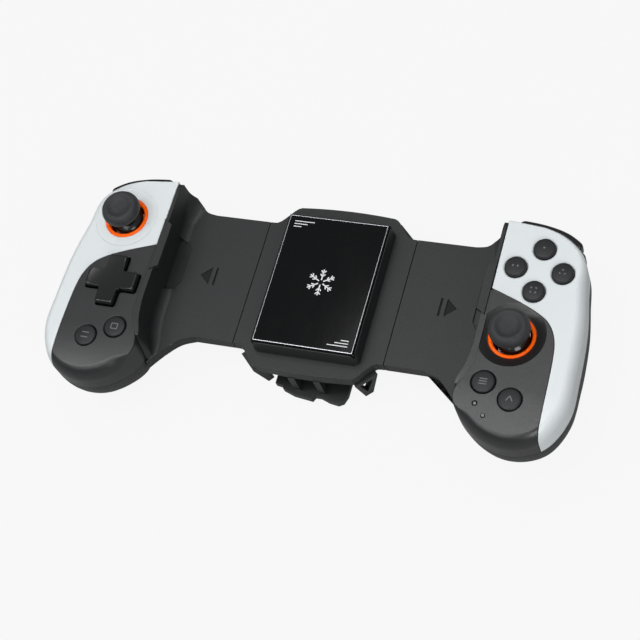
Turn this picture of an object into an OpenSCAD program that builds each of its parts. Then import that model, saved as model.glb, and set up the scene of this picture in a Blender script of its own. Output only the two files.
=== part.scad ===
// Mobile game controller that stretches around a phone, with a cooling block in its middle.
// Modelled with the plates' top face at z = 0 and the block's centre at x = y = 0, then placed on the table.
// The right grip is drawn, and the left one mirrors it where the two are alike.

/* [Overall] */
// Height of the plates' top face above the table
plate_top = 24; // [23:0.5:28]
// Half the length of the phone well when closed
well_half = 73.2; // [72:0.2:77]
// How far each grip slides out
travel = 18; // [12:1:18]

/* [Plates] */
// Thickness of the centre and wing plates
plate_t = 5.5; // [5.3:0.1:6]
// Thickness of the plates' front and rear skins
skin = 1.5; // [1.3:0.1:1.6]
// Depth of the parting line below the top face
parting = 2.8; // [2.5:0.1:3.2]
// Thickness of the plates' rims
rim_t = 1.6; // [1.3:0.1:1.8]
// Half the height of the wing plates
wing_half_h = 29.7; // [29.5:0.1:32]
// Half the width of the centre plate
centre_half_w = 33.7; // [33.2:0.1:36]
// Gap between the centre plate and a wing when closed
seam_gap = 0.3; // [0.2:0.05:0.5]
// Half the width of the centre plate's bulges
bulge_half_w = 21.5; // [20:0.5:23]
// Reach of the bulges from the centre
bulge_reach = 39.5; // [39:0.1:41]
// Crown of the bulges' edge
bulge_crown = 1; // [0.5:0.1:2]

/* [Cooling block] */
// Half the width of the block at its base
block_half_x = 24; // [23.5:0.1:25]
// Half the length of the block at its base
block_half_y = 32.3; // [31.8:0.1:33.5]
// Height of the block's rim above the plate
block_h = 8.05; // [7.6:0.05:8.3]
// How far the block's walls lean in
block_draft = 0.7; // [0.4:0.1:0.9]
// Corner radius of the block
block_corner = 3; // [2:0.5:4]
// Thickness of the cold plate under the panel
cold_t = 1.65; // [1.4:0.05:2]
// Thickness of the glossy panel
panel_t = 1.5; // [1:0.1:1.6]
// Width of the bright rim around the panel
rim_w = 1; // [0.8:0.1:1.3]
// Half the side of the cooling module
module_half = 15; // [13:0.5:15]
// Thickness of the cooling module
module_t = 3.4; // [3:0.1:3.8]

/* [Rear cooler] */
// Depth of the guard's lower face below the plate's top face
guard_depth = 20; // [19.5:0.1:21]
// Thickness of the guard
guard_t = 3; // [2.5:0.1:3.2]
// Wall of the fan shroud
shroud_wall = 1.6; // [1.2:0.1:2]
// Radius of the fan
fan_r = 20.5; // [18:0.5:20.5]
// Number of fan blades
fan_blades = 9; // [7:1:11]
// Radius of the motor shaft
shaft_r = 0.75; // [0.6:0.05:1]
// Thickness of a foot's bars
foot_bar = 2.4; // [2:0.1:2.8]

/* [Slide] */
// Thickness of the sliding forks
fork_t = 1.9; // [1.7:0.05:1.9]
// Distance of the pinion from the centre line
pinion_y = 22; // [21.8:0.1:22.2]
// Gear module of the pinion and racks
gear_module = 0.5; // [0.5:0.01:0.52]
// Teeth of the pinion
pinion_teeth = 12; // [12:2:12]
// Radius of the pinion's stud
stud_r = 1; // [0.8:0.05:1.2]

/* [Grips] */
// Width of a grip outside its inner wall
grip_w = 40.2; // [39.8:0.1:44]
// Reach of the grips' upper end
grip_top = 35.8; // [35:0.1:38]
// Reach of the grips' lower end
grip_end = 61; // [60:0.1:64]
// Height of the grips' top face above the plate
grip_rise = 16; // [15.8:0.1:17]
// Depth of the grips' underside below the plate's top face
grip_drop = 21; // [20.5:0.1:22.5]
// Thickness of the grip shells
wall = 2; // [1.6:0.1:2.2]
// Thickness of the wings' inner wall
wing_wall = 1.5; // [1.2:0.1:2]
// Height of the joint between front shells and rear case
split_z = 1; // [0.8:0.1:1.4]
// Gap line between the shells
shell_gap = 0.25; // [0.15:0.05:0.4]
// Length of the phone lip along the wall
lip_len = 24.8; // [18:0.2:30]
// Reach of the phone lip
lip_reach = 2.2; // [1.5:0.1:3]

/* [Controls] */
// Diameter of the face buttons
face_d = 9; // [8:0.1:9.5]
// Distance of a face button from the group's centre
face_pitch = 9.76; // [9.4:0.02:10.4]
// Diameter of the function buttons
func_d = 9.4; // [8:0.1:10]
// Travel of the face buttons
face_travel = 1.2; // [0.8:0.1:1.5]
// Span of the directional pad
pad_span = 23.5; // [21:0.1:25]
// Width of the pad's arms
pad_arm = 8.5; // [8:0.1:9.5]
// Height of the left stick's pivot above the plate
stick_pivot = 8.5; // [8.3:0.1:9]
// How much deeper the right stick sits
stick_sunk = 1.8; // [1:0.1:1.8]
// Diameter of a stick's cap
cap_d = 17; // [15:0.1:18]
// Outer diameter of the stick rings
ring_d = 19.4; // [19:0.1:20.4]
// Sideways clearance of buttons in their holes
button_gap = 0.25; // [0.15:0.05:0.4]

/* [Hidden] */
$fn = 64;
eps = 0.01;
// Clearance of pieces that move past each other
slide_gap = 0.3;
// Radial clearance of pins that turn
turn_gap = 0.05;

charcoal = "#3a3c3d";
shell_white = "#dde1e3";
black = "#17181a";
orange = "#ff5f00";
rubber = "#2c2e2f";
metal = "#b9bcc0";
board_green = "#1f5a3a";

// Curves
function unit_step(t) = min(1, max(0, t));
function smooth(t) = let (u = unit_step(t)) u * u * (3 - 2 * u);
function mix(a, b, t) = a + (b - a) * t;
function curve_point(a, b, c, d, t) =
    0.5 * (2 * b + (c - a) * t + (2 * a - 5 * b + 4 * c - d) * t * t + (3 * b - a - 3 * c + d) * t * t * t);
function spline(knots, steps) = let (last = len(knots) - 1) concat(
    [for (i = [0:last - 1], k = [0:steps - 1])
        curve_point(knots[max(i - 1, 0)], knots[i], knots[i + 1], knots[min(i + 2, last)], k / steps)],
    [knots[last]]);
function arc(centre, radius, from, to, steps) =
    [for (k = [0:steps]) let (a = mix(from, to, k / steps)) centre + radius * [cos(a), sin(a)]];
function reversed(list) = [for (i = [len(list) - 1:-1:0]) list[i]];
function edge_normal(p, q) = let (d = q - p) [-d.y, d.x] / norm(d);
// Inward normals of a closed outline that runs counterclockwise, long enough to keep a wall even at corners
function inward(line) = let (n = len(line)) [for (i = [0:n - 1])
    let (a = edge_normal(line[(i + n - 1) % n], line[i]), b = edge_normal(line[i], line[(i + 1) % n]))
    (a + b) / (1 + a * b)];

// Plan of a grip: counterclockwise from the foot of its inner wall to the wall's head
inner_x = well_half + wing_wall + shell_gap;
wall_foot = -30;
grip_knots = [
    [inner_x, wall_foot], [inner_x - 5, -44.8], [inner_x + 4.2, 4.5 - grip_end], [inner_x + 19.1, -grip_end],
    [inner_x + grip_w - 7.4, 5.2 - grip_end], [inner_x + grip_w - 0.2, -42], [inner_x + grip_w + 0.3, -25],
    [inner_x + grip_w - 0.7, -5], [inner_x + grip_w - 3.3, 10.5], [inner_x + grip_w - 6, 23],
    [inner_x + grip_w - 14.1, grip_top - 5], [inner_x + 15.1, grip_top - 1.4], [inner_x, grip_top]];
// The last run, up to the wall's head, is kept straight, so that insets do not fold over at the corner
coarse_steps = 4;
coarse_line = spline(grip_knots, coarse_steps);
coarse_last = len(coarse_line) - 1;
grip_line = [for (i = [0:coarse_last]) if (i <= coarse_last - coarse_steps || i == coarse_last) coarse_line[i]];

// Rounding of the grip's edges: sharp at the inner wall, soft outside, full at the lower end
low_from = -32;
function low_end(p) = smooth((low_from - p.y) / 22);
function outer_side(p) = smooth((p.x - inner_x - 12) / 20);
function upper_end(p) = smooth((p.y - 8) / 22);
function top_in(p) = mix(mix(0.5, 4, outer_side(p) * (1 - 0.6 * upper_end(p))), 8, low_end(p));
function top_down(p) = mix(mix(0.6, 6, outer_side(p) * (1 - 0.6 * upper_end(p))), 10, low_end(p));
function shrunk(r, w) = max(0.3, r - w);
// The underside tapers towards a point under the lower controls, most at the inner corner
taper_mid = [inner_x + 20, -24];
taper_share = 0.5;
function tapered(p) = smooth((-16 - p.y) / 26);
function under_in(p) = mix(6, 10, outer_side(p)) + 3 * upper_end(p);
function under_up(p) = mix(mix(9, 17, outer_side(p)), mix(26, 21.5, smooth((p.x - inner_x) / 14)), tapered(p))
    + 2 * upper_end(p);
function under_pull(p, normal) = mix(normal * under_in(p), (taper_mid - p) * taper_share, tapered(p));

// Closed form of a grip, shrunk by w on every side
module grip_form(w) {
    line = grip_line;
    normals = inward(line);
    n = len(line);
    angles = [90, 60, 30, 0];
    top_rings = [for (a = angles) [for (i = [0:n - 1])
        let (p = line[i], q = p + normals[i] * (w + shrunk(top_in(p), w) * (1 - cos(a))))
        [q.x, q.y, grip_rise - w - shrunk(top_down(p), w) * (1 - sin(a))]]];
    low_rings = [for (a = reversed(angles)) [for (i = [0:n - 1])
        let (p = line[i], pull = under_pull(p, normals[i]),
            q = p + normals[i] * w + pull * (shrunk(norm(pull), w) / norm(pull) * (1 - cos(a))))
        [q.x, q.y, -grip_drop + w + shrunk(under_up(p), w) * (1 - sin(a))]]];
    rings = concat(top_rings, low_rings);
    last = len(rings) - 1;
    mid = [inner_x + grip_w / 2, -12];
    points = concat([for (r = rings) each r],
        [[mid.x, mid.y, grip_rise - w], [mid.x, mid.y, -grip_drop + w]]);
    top_mid = len(points) - 2;
    low_mid = len(points) - 1;
    faces = concat(
        [for (r = [0:last - 1], i = [0:n - 1]) let (j = (i + 1) % n) [r * n + i, r * n + j, (r + 1) * n + i]],
        [for (r = [0:last - 1], i = [0:n - 1]) let (j = (i + 1) % n)
            [r * n + j, (r + 1) * n + j, (r + 1) * n + i]],
        [for (i = [0:n - 1]) [top_mid, (i + 1) % n, i]],
        [for (i = [0:n - 1]) [low_mid, last * n + i, last * n + (i + 1) % n]]);
    polyhedron(points, faces);
}

module grip_shell() difference() {
    grip_form(0);
    grip_form(wall);
}

// Strip along the grip's upper edge between two offsets from the outline, outwards counted positive
upper_edge = [for (p = spline(grip_knots, 8)) if (p.y > 8) p];
strip_steps = 20;
strip_run = 0.3;
function edge_point(x, offset) =
    let (rise = lookup(x + strip_run, upper_edge) - lookup(x - strip_run, upper_edge), side = [-rise, 2 * strip_run])
    [x, lookup(x, upper_edge)] + side * (offset / norm(side));
function edge_points(offset, from_x, to_x) =
    [for (k = [0:strip_steps]) edge_point(mix(from_x, to_x, k / strip_steps), offset)];
module edge_strip(inner, outer, from_x, to_x)
    polygon(concat(edge_points(outer, from_x, to_x), reversed(edge_points(inner, from_x, to_x))));

module slab(low, high) translate([-200, -200, low]) cube([400, 400, high - low]);
module box(low, high) translate(low) cube(high - low);
module rod_x(r, from, to, y, z) translate([from, y, z]) rotate([0, 90, 0]) cylinder(r = r, h = to - from);
module rod_y(r, from, to, x, z) translate([x, from, z]) rotate([-90, 0, 0]) cylinder(r = r, h = to - from);
module rod_z(r, from, to, at) translate([at.x, at.y, from]) cylinder(r = r, h = to - from);
module left_side() mirror([1, 0, 0]) children();

// Rearmost edge is the triggers', which sets where the middle of the whole lies
finger_out = 4.5;
finger_from = inner_x + 7;
finger_to = inner_x + grip_w - 10.8;
rear_y = max([for (p = edge_points(finger_out, finger_from, finger_to)) p.y]);
origin_y = (grip_end - rear_y) / 2;
module placed() translate([0, origin_y, plate_top]) children();

// Centre plate
bulge_start = centre_half_w - 2.2;
function centre_edge(x) = let (lift = smooth((bulge_start - abs(x)) / (bulge_start - bulge_half_w)))
    mix(wing_half_h, bulge_reach - bulge_crown * pow(x / bulge_half_w, 2), lift);
edge_steps = 44;
centre_top_edge = [for (k = [0:edge_steps])
    let (x = mix(centre_half_w, -centre_half_w, k / edge_steps)) [x, centre_edge(x)]];
module centre_outline() polygon(concat(centre_top_edge, -1 * centre_top_edge));

cavity_low = skin - plate_t;
rail_out = wing_half_h - rim_t - slide_gap;
module centre_cavity() {
    offset(delta = -rim_t) centre_outline();
    square([2 * centre_half_w + 2, 2 * (rail_out + slide_gap)], center = true);
}

core_half_x = module_half + 1;
core_gap = 0.3;
module core_opening(low, high) box([-core_half_x - core_gap, -module_half - core_gap, low],
    [core_half_x + core_gap, module_half + core_gap, high]);

screw_r = 0.95;
screw_head_r = 1.9;
screw_head_h = 1.2;
boss_r = 2.3;
centre_screw_at = [for (x = [-14, 14], y = [-1, 1]) [x, y * (bulge_reach - 4.5)]];

port_half_w = 4.5;
port_depth = 6.5;
port_h = 3.2;
port_mid = -plate_t / 2;
port_gap = 0.15;
module port_space() box(
    [-port_half_w - port_gap, bulge_reach - port_depth - port_gap, port_mid - port_h / 2 - port_gap],
    [port_half_w + port_gap, bulge_reach + 2, port_mid + port_h / 2 + port_gap]);

module centre_front_cover() color(charcoal) difference() {
    union() {
        difference() {
            translate([0, 0, -parting]) linear_extrude(parting) centre_outline();
            translate([0, 0, -parting - 1]) linear_extrude(parting + 1 - skin) centre_cavity();
        }
        for (p = centre_screw_at) rod_z(boss_r, -parting, -skin + eps, p);
    }
    core_opening(-parting, 1);
    port_space();
    for (p = centre_screw_at) rod_z(screw_r, -parting - 1, -0.6, p);
}

shroud_half = [23.5, 31.5];
shroud_corner = 6;
guard_top = guard_t - guard_depth;
module rounded_rect(half, r) {
    square([2 * half.x, 2 * (half.y - r)], center = true);
    square([2 * (half.x - r), 2 * half.y], center = true);
    for (x = [-1, 1], y = [-1, 1]) translate([x * (half.x - r), y * (half.y - r)]) circle(r);
}
vent_count = 7;
vent_w = 4;
vent_pitch = 7;
vent_edge = 2.2;

module centre_rear_cover() color(charcoal) difference() {
    union() {
        difference() {
            translate([0, 0, -plate_t]) linear_extrude(plate_t - parting) centre_outline();
            translate([0, 0, cavity_low]) linear_extrude(plate_t) centre_cavity();
        }
        for (p = centre_screw_at) rod_z(boss_r, cavity_low - eps, -parting, p);
        rod_z(stud_r, cavity_low - eps, -skin - 0.1, [0, pinion_y]);
        translate([0, 0, guard_top]) linear_extrude(-plate_t - guard_top + eps) difference() {
            rounded_rect(shroud_half, shroud_corner);
            rounded_rect(shroud_half - [1, 1] * shroud_wall, shroud_corner - shroud_wall);
        }
    }
    core_opening(-plate_t - 1, 0);
    port_space();
    for (p = centre_screw_at) {
        rod_z(screw_r + turn_gap, -plate_t - 1, 0, p);
        rod_z(screw_head_r + 0.1, -plate_t - 1, -plate_t + screw_head_h, p);
    }
    for (k = [0:vent_count - 1]) let (y = (k - (vent_count - 1) / 2) * vent_pitch)
        box([-shroud_half.x - 1, y - vent_w / 2, guard_top + vent_edge],
            [shroud_half.x + 1, y + vent_w / 2, -plate_t - vent_edge]);
}

module centre_screws() color(metal) for (p = centre_screw_at) {
    rod_z(screw_head_r, -plate_t, -plate_t + screw_head_h, p);
    rod_z(screw_r - 0.02, -plate_t + screw_head_h - eps, -0.8, p);
}

// Raised cooling block
tray_low = block_h - panel_t - cold_t - 0.05;
tray_half = [block_half_x - block_draft - 0.4, block_half_y - block_draft - 0.5];
frame_h = block_h - 0.75;
module cooler_frame() color(charcoal) difference() {
    hull() {
        linear_extrude(0.6) rounded_rect([block_half_x, block_half_y], block_corner, $fn = 32);
        translate([0, 0, frame_h - 0.4]) linear_extrude(0.4)
            rounded_rect([block_half_x - block_draft, block_half_y - block_draft], block_corner, $fn = 32);
    }
    box([-tray_half.x - 0.1, -tray_half.y - 0.1, tray_low], [tray_half.x + 0.1, tray_half.y + 0.1, block_h]);
    box([-tray_half.x + 3, -tray_half.y + 3, -1], [tray_half.x - 3, tray_half.y - 3, block_h]);
}

panel_half = tray_half - [1, 1] * rim_w;
chamfer = 0.7;
module cold_plate() color(metal) difference() {
    hull() {
        box([-tray_half.x, -tray_half.y, tray_low], [tray_half.x, tray_half.y, block_h - chamfer]);
        box([-tray_half.x + chamfer, -tray_half.y + chamfer, tray_low],
            [tray_half.x - chamfer, tray_half.y - chamfer, block_h]);
    }
    box([-panel_half.x, -panel_half.y, tray_low + cold_t], [panel_half.x, panel_half.y, block_h + 1]);
}

module cooling_panel() color(black)
    box([-panel_half.x + 0.05, -panel_half.y + 0.05, tray_low + cold_t],
        [panel_half.x - 0.05, panel_half.y - 0.05, tray_low + cold_t + panel_t]);

module_low = tray_low - module_t;
module cooling_module() color("white")
    box([-module_half, -module_half, module_low], [module_half, module_half, tray_low]);

sink_half = [20, 24];
sink_t = 2.8;
fin_h = 3.7;
fin_t = 1;
fin_count = 12;
module heat_sink() color(metal) {
    box([-core_half_x, -module_half, -plate_t - eps], [core_half_x, module_half, module_low]);
    box([-sink_half.x, -sink_half.y, -plate_t - sink_t], [sink_half.x, sink_half.y, -plate_t]);
    for (k = [0:fin_count - 1]) let (x = mix(-sink_half.x, sink_half.x - fin_t, k / (fin_count - 1)))
        box([x, -sink_half.y, -plate_t - sink_t - fin_h], [x + fin_t, sink_half.y, -plate_t - sink_t + eps]);
}

// Fan, with its motor standing on the guard's hub
hub_r = 8.6;
hub_wall = 1;
fan_low = guard_top + 1;
fan_high = -plate_t - sink_t - fin_h - 0.5;
motor_base_t = 0.7;
module fan_motor() color(black) {
    rod_z(hub_r - hub_wall - 0.1, guard_top, guard_top + motor_base_t, [0, 0]);
    difference() {
        rod_z(hub_r - hub_wall - 0.4, guard_top + motor_base_t - eps, fan_high - hub_wall - slide_gap, [0, 0]);
        rod_z(2.4, guard_top + motor_base_t, fan_high, [0, 0]);
    }
    rod_z(shaft_r, guard_top + motor_base_t - eps, fan_high - 0.3, [0, 0]);
}

blade_tilt = 35;
blade_chord = 5.2;
blade_t = 0.9;
module fan_rotor() color(black) difference() {
    union() {
        difference() {
            rod_z(hub_r, fan_low, fan_high, [0, 0]);
            rod_z(hub_r - hub_wall, fan_low - 1, fan_high - hub_wall, [0, 0]);
        }
        rod_z(2, fan_high - 2.5, fan_high, [0, 0]);
        for (k = [0:fan_blades - 1]) rotate(360 * k / fan_blades)
            translate([(hub_r + fan_r) / 2 - 0.2, 0, (fan_low + fan_high) / 2]) rotate([blade_tilt, 0, 0])
                cube([fan_r - hub_r, blade_chord, blade_t], center = true);
    }
    rod_z(shaft_r + turn_gap, guard_top, fan_high + 1, [0, 0]);
}

// Guard under the fan, with a lobed tab and two struts at its lower edge
strut_x = 5.7;
strut_w = 3;
strut_y = [-bulge_reach - 0.4, -bulge_reach + 2.4];
// Points of the tab's edge, counted from the lower bulge's reach, and how deep the tab's root sits in the guard
tab_points = [[-16.5, 1.3], [-12.8, 0.7], [-12.4, -0.7], [-7, -2.5], [1.6, -3.5], [2.4, -1.7], [5, -1.7],
    [9, -3.1], [13.2, -3.7], [15.4, -2.5], [16.6, 0.9]];
tab_root = 1.5;
function tab_foot(p) = [p.x, tab_root - shroud_half.y];
tab_edge = concat([tab_foot(tab_points[0])], [for (p = tab_points) p - [0, bulge_reach]],
    [tab_foot(tab_points[len(tab_points) - 1])]);
guard_rings = [[9.4, 12.8], [14, 17.4], [18.6, 21.4]];
spoke_count = 6;
spoke_w = 1.6;
module guard_openings() difference() {
    for (r = guard_rings) difference() {
        circle(r[1]);
        circle(r[0]);
    }
    for (k = [0:spoke_count - 1]) rotate(360 * k / spoke_count)
        translate([0, -spoke_w / 2]) square([guard_rings[2][1] + 1, spoke_w]);
}
module rear_guard() color(charcoal) {
    translate([0, 0, -guard_depth]) linear_extrude(guard_t) difference() {
        union() {
            rounded_rect(shroud_half, shroud_corner);
            polygon(tab_edge);
        }
        guard_openings();
    }
    for (x = [-strut_x, strut_x])
        box([x - strut_w / 2, strut_y[0], guard_top - eps], [x + strut_w / 2, strut_y[1], -plate_t]);
}

// Open triangular feet: each stands in a plane that leans inwards from the plate's waist
foot_outer = [centre_half_w - 3.7, -wing_half_h - 0.9];
foot_inner = [bulge_half_w + 0.3, 1.3 - bulge_reach];
foot_tip = [bulge_half_w + 0.9, 6.5 - bulge_reach];
foot_t = 3;
module corner_foot() {
    along = concat((foot_inner - foot_outer) / norm(foot_inner - foot_outer), [0]);
    drop = concat(foot_tip - foot_outer, [plate_t - plate_top]);
    down_full = drop - along * (drop * along);
    down = down_full / norm(down_full);
    face = cross(along, down);
    top_len = norm(foot_inner - foot_outer);
    tip = [drop * along, norm(down_full)];
    intersection() {
        multmatrix([[along.x, down.x, face.x, foot_outer.x], [along.y, down.y, face.y, foot_outer.y],
            [along.z, down.z, face.z, -plate_t], [0, 0, 0, 1]])
            translate([0, 0, -foot_t / 2]) linear_extrude(foot_t) difference() {
                polygon([[0, -1], [top_len, -1], tip + [1.2, 2], tip + [-1.6, 2]]);
                polygon([[foot_bar * 1.2, foot_bar], [top_len - foot_bar * 0.9, foot_bar],
                    tip - [0.2, foot_bar * 2]]);
            }
        slab(-plate_top, -plate_t);
    }
}
module corner_feet() color(charcoal) for (x = [0, 1], y = [0, 1])
    mirror([x, 0, 0]) mirror([0, y, 0]) corner_foot();

// Rack and pinion, and the forks that carry the wings
fork_high = -skin - slide_gap;
fork_low = fork_high - fork_t;
pitch_r = gear_module * pinion_teeth / 2;
tooth_pitch = PI * gear_module;
backlash = 0.06;
pressure = 20;
rack_add = 0.7 * gear_module;
rack_ded = 1.2 * gear_module;
pinion_add = 0.8 * gear_module;
pinion_ded = gear_module;
base_r = pitch_r * cos(pressure);
half_tooth = (tooth_pitch / 2 - backlash) / 2;
function involute(a) = tan(a) * 180 / PI - a;
function flank_angle(r) = let (a = acos(base_r / max(r, base_r)))
    half_tooth / pitch_r * 180 / PI + involute(pressure) - involute(a);
flank_radii = [pitch_r - pinion_ded, base_r, pitch_r, pitch_r + pinion_add / 2, pitch_r + pinion_add];
function pinion_tooth(a) = concat(
    [for (r = flank_radii) r * [cos(a - flank_angle(r)), sin(a - flank_angle(r))]],
    [for (r = reversed(flank_radii)) r * [cos(a + flank_angle(r)), sin(a + flank_angle(r))]]);
module pinion_outline()
    polygon([for (k = [0:pinion_teeth - 1]) each pinion_tooth(360 * (k + 0.5) / pinion_teeth)]);
module sync_pinion() color("white") translate([0, pinion_y, fork_low]) difference() {
    linear_extrude(fork_t) pinion_outline();
    translate([0, 0, -1]) cylinder(r = stud_r + turn_gap, h = fork_t + 2);
}

// Rack teeth pointing down from a line at y = 0, from tooth number first to last
rack_foot = half_tooth + rack_ded * tan(pressure);
rack_tip = half_tooth - rack_add * tan(pressure);
module rack_teeth(first, last) for (k = [first:last]) translate([k * tooth_pitch, 0]) polygon([
    [-rack_foot, rack_ded + 0.1], [-rack_foot, rack_ded], [-rack_tip, -rack_add],
    [rack_tip, -rack_add], [rack_foot, rack_ded], [rack_foot, rack_ded + 0.1]]);

rail_tip = 24;
rail_in = module_half + core_gap + 0.6;
rack_high = pinion_y + pitch_r + rack_ded;
rack_low = pinion_y - pitch_r - rack_ded;
rack_count = ceil(travel / tooth_pitch) + 2;
fork_root = [centre_half_w + 2.3, well_half - 11.2];
ear_x = 24.5;
ear_w = 2;
spring_y = -pinion_y;
peg_r = 2;
peg_at = [for (x = [fork_root[0] + 8, fork_root[1] - 6]) [x, 0]];
peg_shoulder = 3.5;

// Flat fork of the left side without its teeth: outer rail above, inner rail below, and the root in the wing
module fork_plate() difference() {
    union() {
        translate([-fork_root[1], rack_high]) square([fork_root[1] + rail_tip, rail_out - rack_high]);
        translate([-fork_root[1], -rack_low]) square([fork_root[1] + rail_tip, rack_low - rail_in]);
        translate([-fork_root[1], -rack_low]) square([fork_root[1] - fork_root[0], rail_out + rack_low]);
    }
    for (p = peg_at) translate([-p.x, -p.y]) circle(peg_r + turn_gap);
}
module left_fork() color(metal) translate([0, 0, fork_low]) linear_extrude(fork_t) {
    fork_plate();
    translate([0, pinion_y + pitch_r]) rack_teeth(-2, rack_count);
    translate([-ear_x - ear_w / 2, spring_y - 1.4]) square([ear_w, -rack_low - spring_y + 1.5]);
}
module right_fork() color(metal) translate([0, 0, fork_low]) linear_extrude(fork_t) {
    rotate(180) fork_plate();
    translate([0, pinion_y - pitch_r]) mirror([0, 1]) rack_teeth(-rack_count, 2);
    translate([ear_x - ear_w / 2, -rack_high - 0.1]) square([ear_w, rack_high + spring_y + 1.5]);
}

spring_r = 1.05;
module pull_spring() color(metal) difference() {
    rod_x(spring_r, -ear_x + ear_w / 2 + 0.2, ear_x - ear_w / 2 - 0.2, spring_y, cavity_low + spring_r + 0.1);
    rod_x(spring_r - 0.35, -ear_x, ear_x, spring_y, cavity_low + spring_r + 0.1);
}

port_wall = 0.4;
module charging_port() color(metal) difference() {
    box([-port_half_w, bulge_reach - port_depth, port_mid - port_h / 2],
        [port_half_w, bulge_reach - 0.1, port_mid + port_h / 2]);
    box([-port_half_w + port_wall, bulge_reach - port_depth + 1, port_mid - port_h / 2 + port_wall],
        [port_half_w - port_wall, bulge_reach + 1, port_mid + port_h / 2 - port_wall]);
}

// Wings: plate, inner wall with its fillet, phone lip, pocket and engraved arrow.
// The wall leans a little, and below its foot it falls away along the grip's edge
flare_x = well_half - 21.2;
wall_x = well_half + wing_wall;
foot_fillet = 4;
function wing_side(reach) = [for (k = [0:4]) grip_line[k] + [reach - shell_gap, 0]];
function wing_points(reach) = concat(
    [[centre_half_w + seam_gap, -wing_half_h]],
    spline([[flare_x, -wing_half_h], [flare_x + 6.5, -wing_half_h - 2.7], [flare_x + 12.2, -wing_half_h - 8.1],
        grip_line[4] - [shell_gap, 0]], 5),
    reversed(wing_side(reach)),
    [[wall_x + reach, grip_top]],
    spline([[wall_x - 4.2, grip_top + 0.2], [wall_x - 7.4, grip_top - 2.6], [wall_x - 10.5, wing_half_h + 0.9],
        [wall_x - 15.2, wing_half_h]], 4),
    [[centre_half_w + seam_gap, wing_half_h]]);
module wing_outline(reach = 0) polygon(wing_points(reach));

wall_draft = 0.8;
wall_head = [[0, grip_rise - 2.6, 9], [1, grip_rise - 0.9, 8.5], [2.6, grip_rise - 0.2, 8], [4.6, grip_rise, 7],
    [12, grip_rise, foot_fillet]];
wall_fall = [[14.6, 4, 1.5], [11.3, 3, 1.5], [5.5, 1.6, 1.3], [1.2, 0.5, 0.8]];
function fall_point(k) = k < 4 ? grip_line[k] : mix(grip_line[3], grip_line[4], 0.6);
// Outer x, y, height, fillet and thickness of each section, from the wall's head downwards
wall_sections = concat(
    [for (h = wall_head) [wall_x, grip_top - h[0], h[1], h[2], wing_wall]],
    [[wall_x, wall_foot, grip_rise, foot_fillet, wing_wall]],
    [for (k = [1:4]) let (p = fall_point(k)) concat([p.x - shell_gap, p.y], wall_fall[k - 1])]);
wall_low = -skin / 2;
function wall_profile(c) = let (x = c[0] - c[4], r = c[3], foot = x - wall_draft * (c[2] - r) / grip_rise - r)
    [for (p = concat([[c[0], wall_low], [c[0], c[2]], [x, c[2]]], arc([foot, r], r, 0, -90, 8), [[foot, wall_low]]))
        [p.x, c[1], p.y]];
module wing_inner_wall() {
    profiles = [for (c = wall_sections) wall_profile(c)];
    m = len(profiles[0]);
    last = len(profiles) - 1;
    polyhedron([for (p = profiles) each p], concat(
        [for (k = [0:last - 1], i = [0:m - 1]) let (j = (i + 1) % m) [k * m + j, k * m + i, (k + 1) * m + i]],
        [for (k = [0:last - 1], i = [0:m - 1]) let (j = (i + 1) % m) [k * m + j, (k + 1) * m + i, (k + 1) * m + j]],
        [for (i = [1:m - 2]) [0, i, i + 1]],
        [for (i = [1:m - 2]) [last * m, last * m + i + 1, last * m + i]]));
}
module wing_cavity() {
    offset(delta = -rim_t) wing_outline();
    translate([centre_half_w - 1, -rail_out - slide_gap]) square([8, 2 * (rail_out + slide_gap)]);
}

lip_t = 2.3;
lip_proud = 0.7;
lip_mid = 4;
lip_slant = 2.4;
pocket_deep = 0.8;
pocket_reach = 6.4;
engraving = 0.5;
arrow_x = well_half - 19.7;
module wing() color(charcoal) difference() {
    union() {
        difference() {
            translate([0, 0, -parting]) linear_extrude(parting) wing_outline();
            translate([0, 0, -parting - 1]) linear_extrude(parting + 1 - skin) wing_cavity();
        }
        intersection() {
            wing_inner_wall();
            translate([0, 0, -skin]) linear_extrude(grip_rise + 2 * skin) wing_outline(shell_gap / 2);
        }
        translate([0, lip_mid, grip_rise + lip_proud - lip_t]) linear_extrude(lip_t) polygon([
            [wall_x, lip_len / 2], [well_half - lip_reach, lip_len / 2 - lip_slant],
            [well_half - lip_reach, -lip_len / 2 + lip_slant], [wall_x, -lip_len / 2]]);
    }
    translate([well_half - 0.6, lip_mid - 0.4, -pocket_deep]) linear_extrude(foot_fillet + 2) polygon([
        [0, lip_len / 2], [-pocket_reach * 0.6, lip_len / 2 - 1.5], [-pocket_reach, lip_len / 2 - 4.5],
        [-pocket_reach, -lip_len / 2 + 4], [-pocket_reach * 0.6, -lip_len / 2], [0, -lip_len / 2 - 1]]);
    translate([arrow_x, 0, -engraving]) linear_extrude(1) {
        polygon([[0, 4.2], [4.8, 0], [0, -4.2]]);
        translate([-2.8, -4.2]) square([0.9, 8.4]);
    }
}

// Front shells: a line across the grip parts the white cover from the dark face
cover_knots = [[inner_x - 2, 4.7], [inner_x + 11.1, 0], [inner_x + 20.1, -4], [inner_x + grip_w - 14.1, -8.2],
    [inner_x + grip_w - 10.5, -14.5], [inner_x + grip_w - 9.1, -23], [inner_x + grip_w - 8.6, -40],
    [inner_x + grip_w - 8.6, -grip_end - 5]];
far_x = inner_x + grip_w + 20;
far_y = grip_top + 20;
module cover_region()
    polygon(concat(spline(cover_knots, 4), [[far_x, -grip_end - 5], [far_x, far_y], [inner_x - 2, far_y]]));
module face_region() difference() {
    translate([inner_x - 20, -grip_end - 4]) square([grip_w + 35, grip_end + grip_top + 20]);
    offset(delta = shell_gap) cover_region();
}

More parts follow.
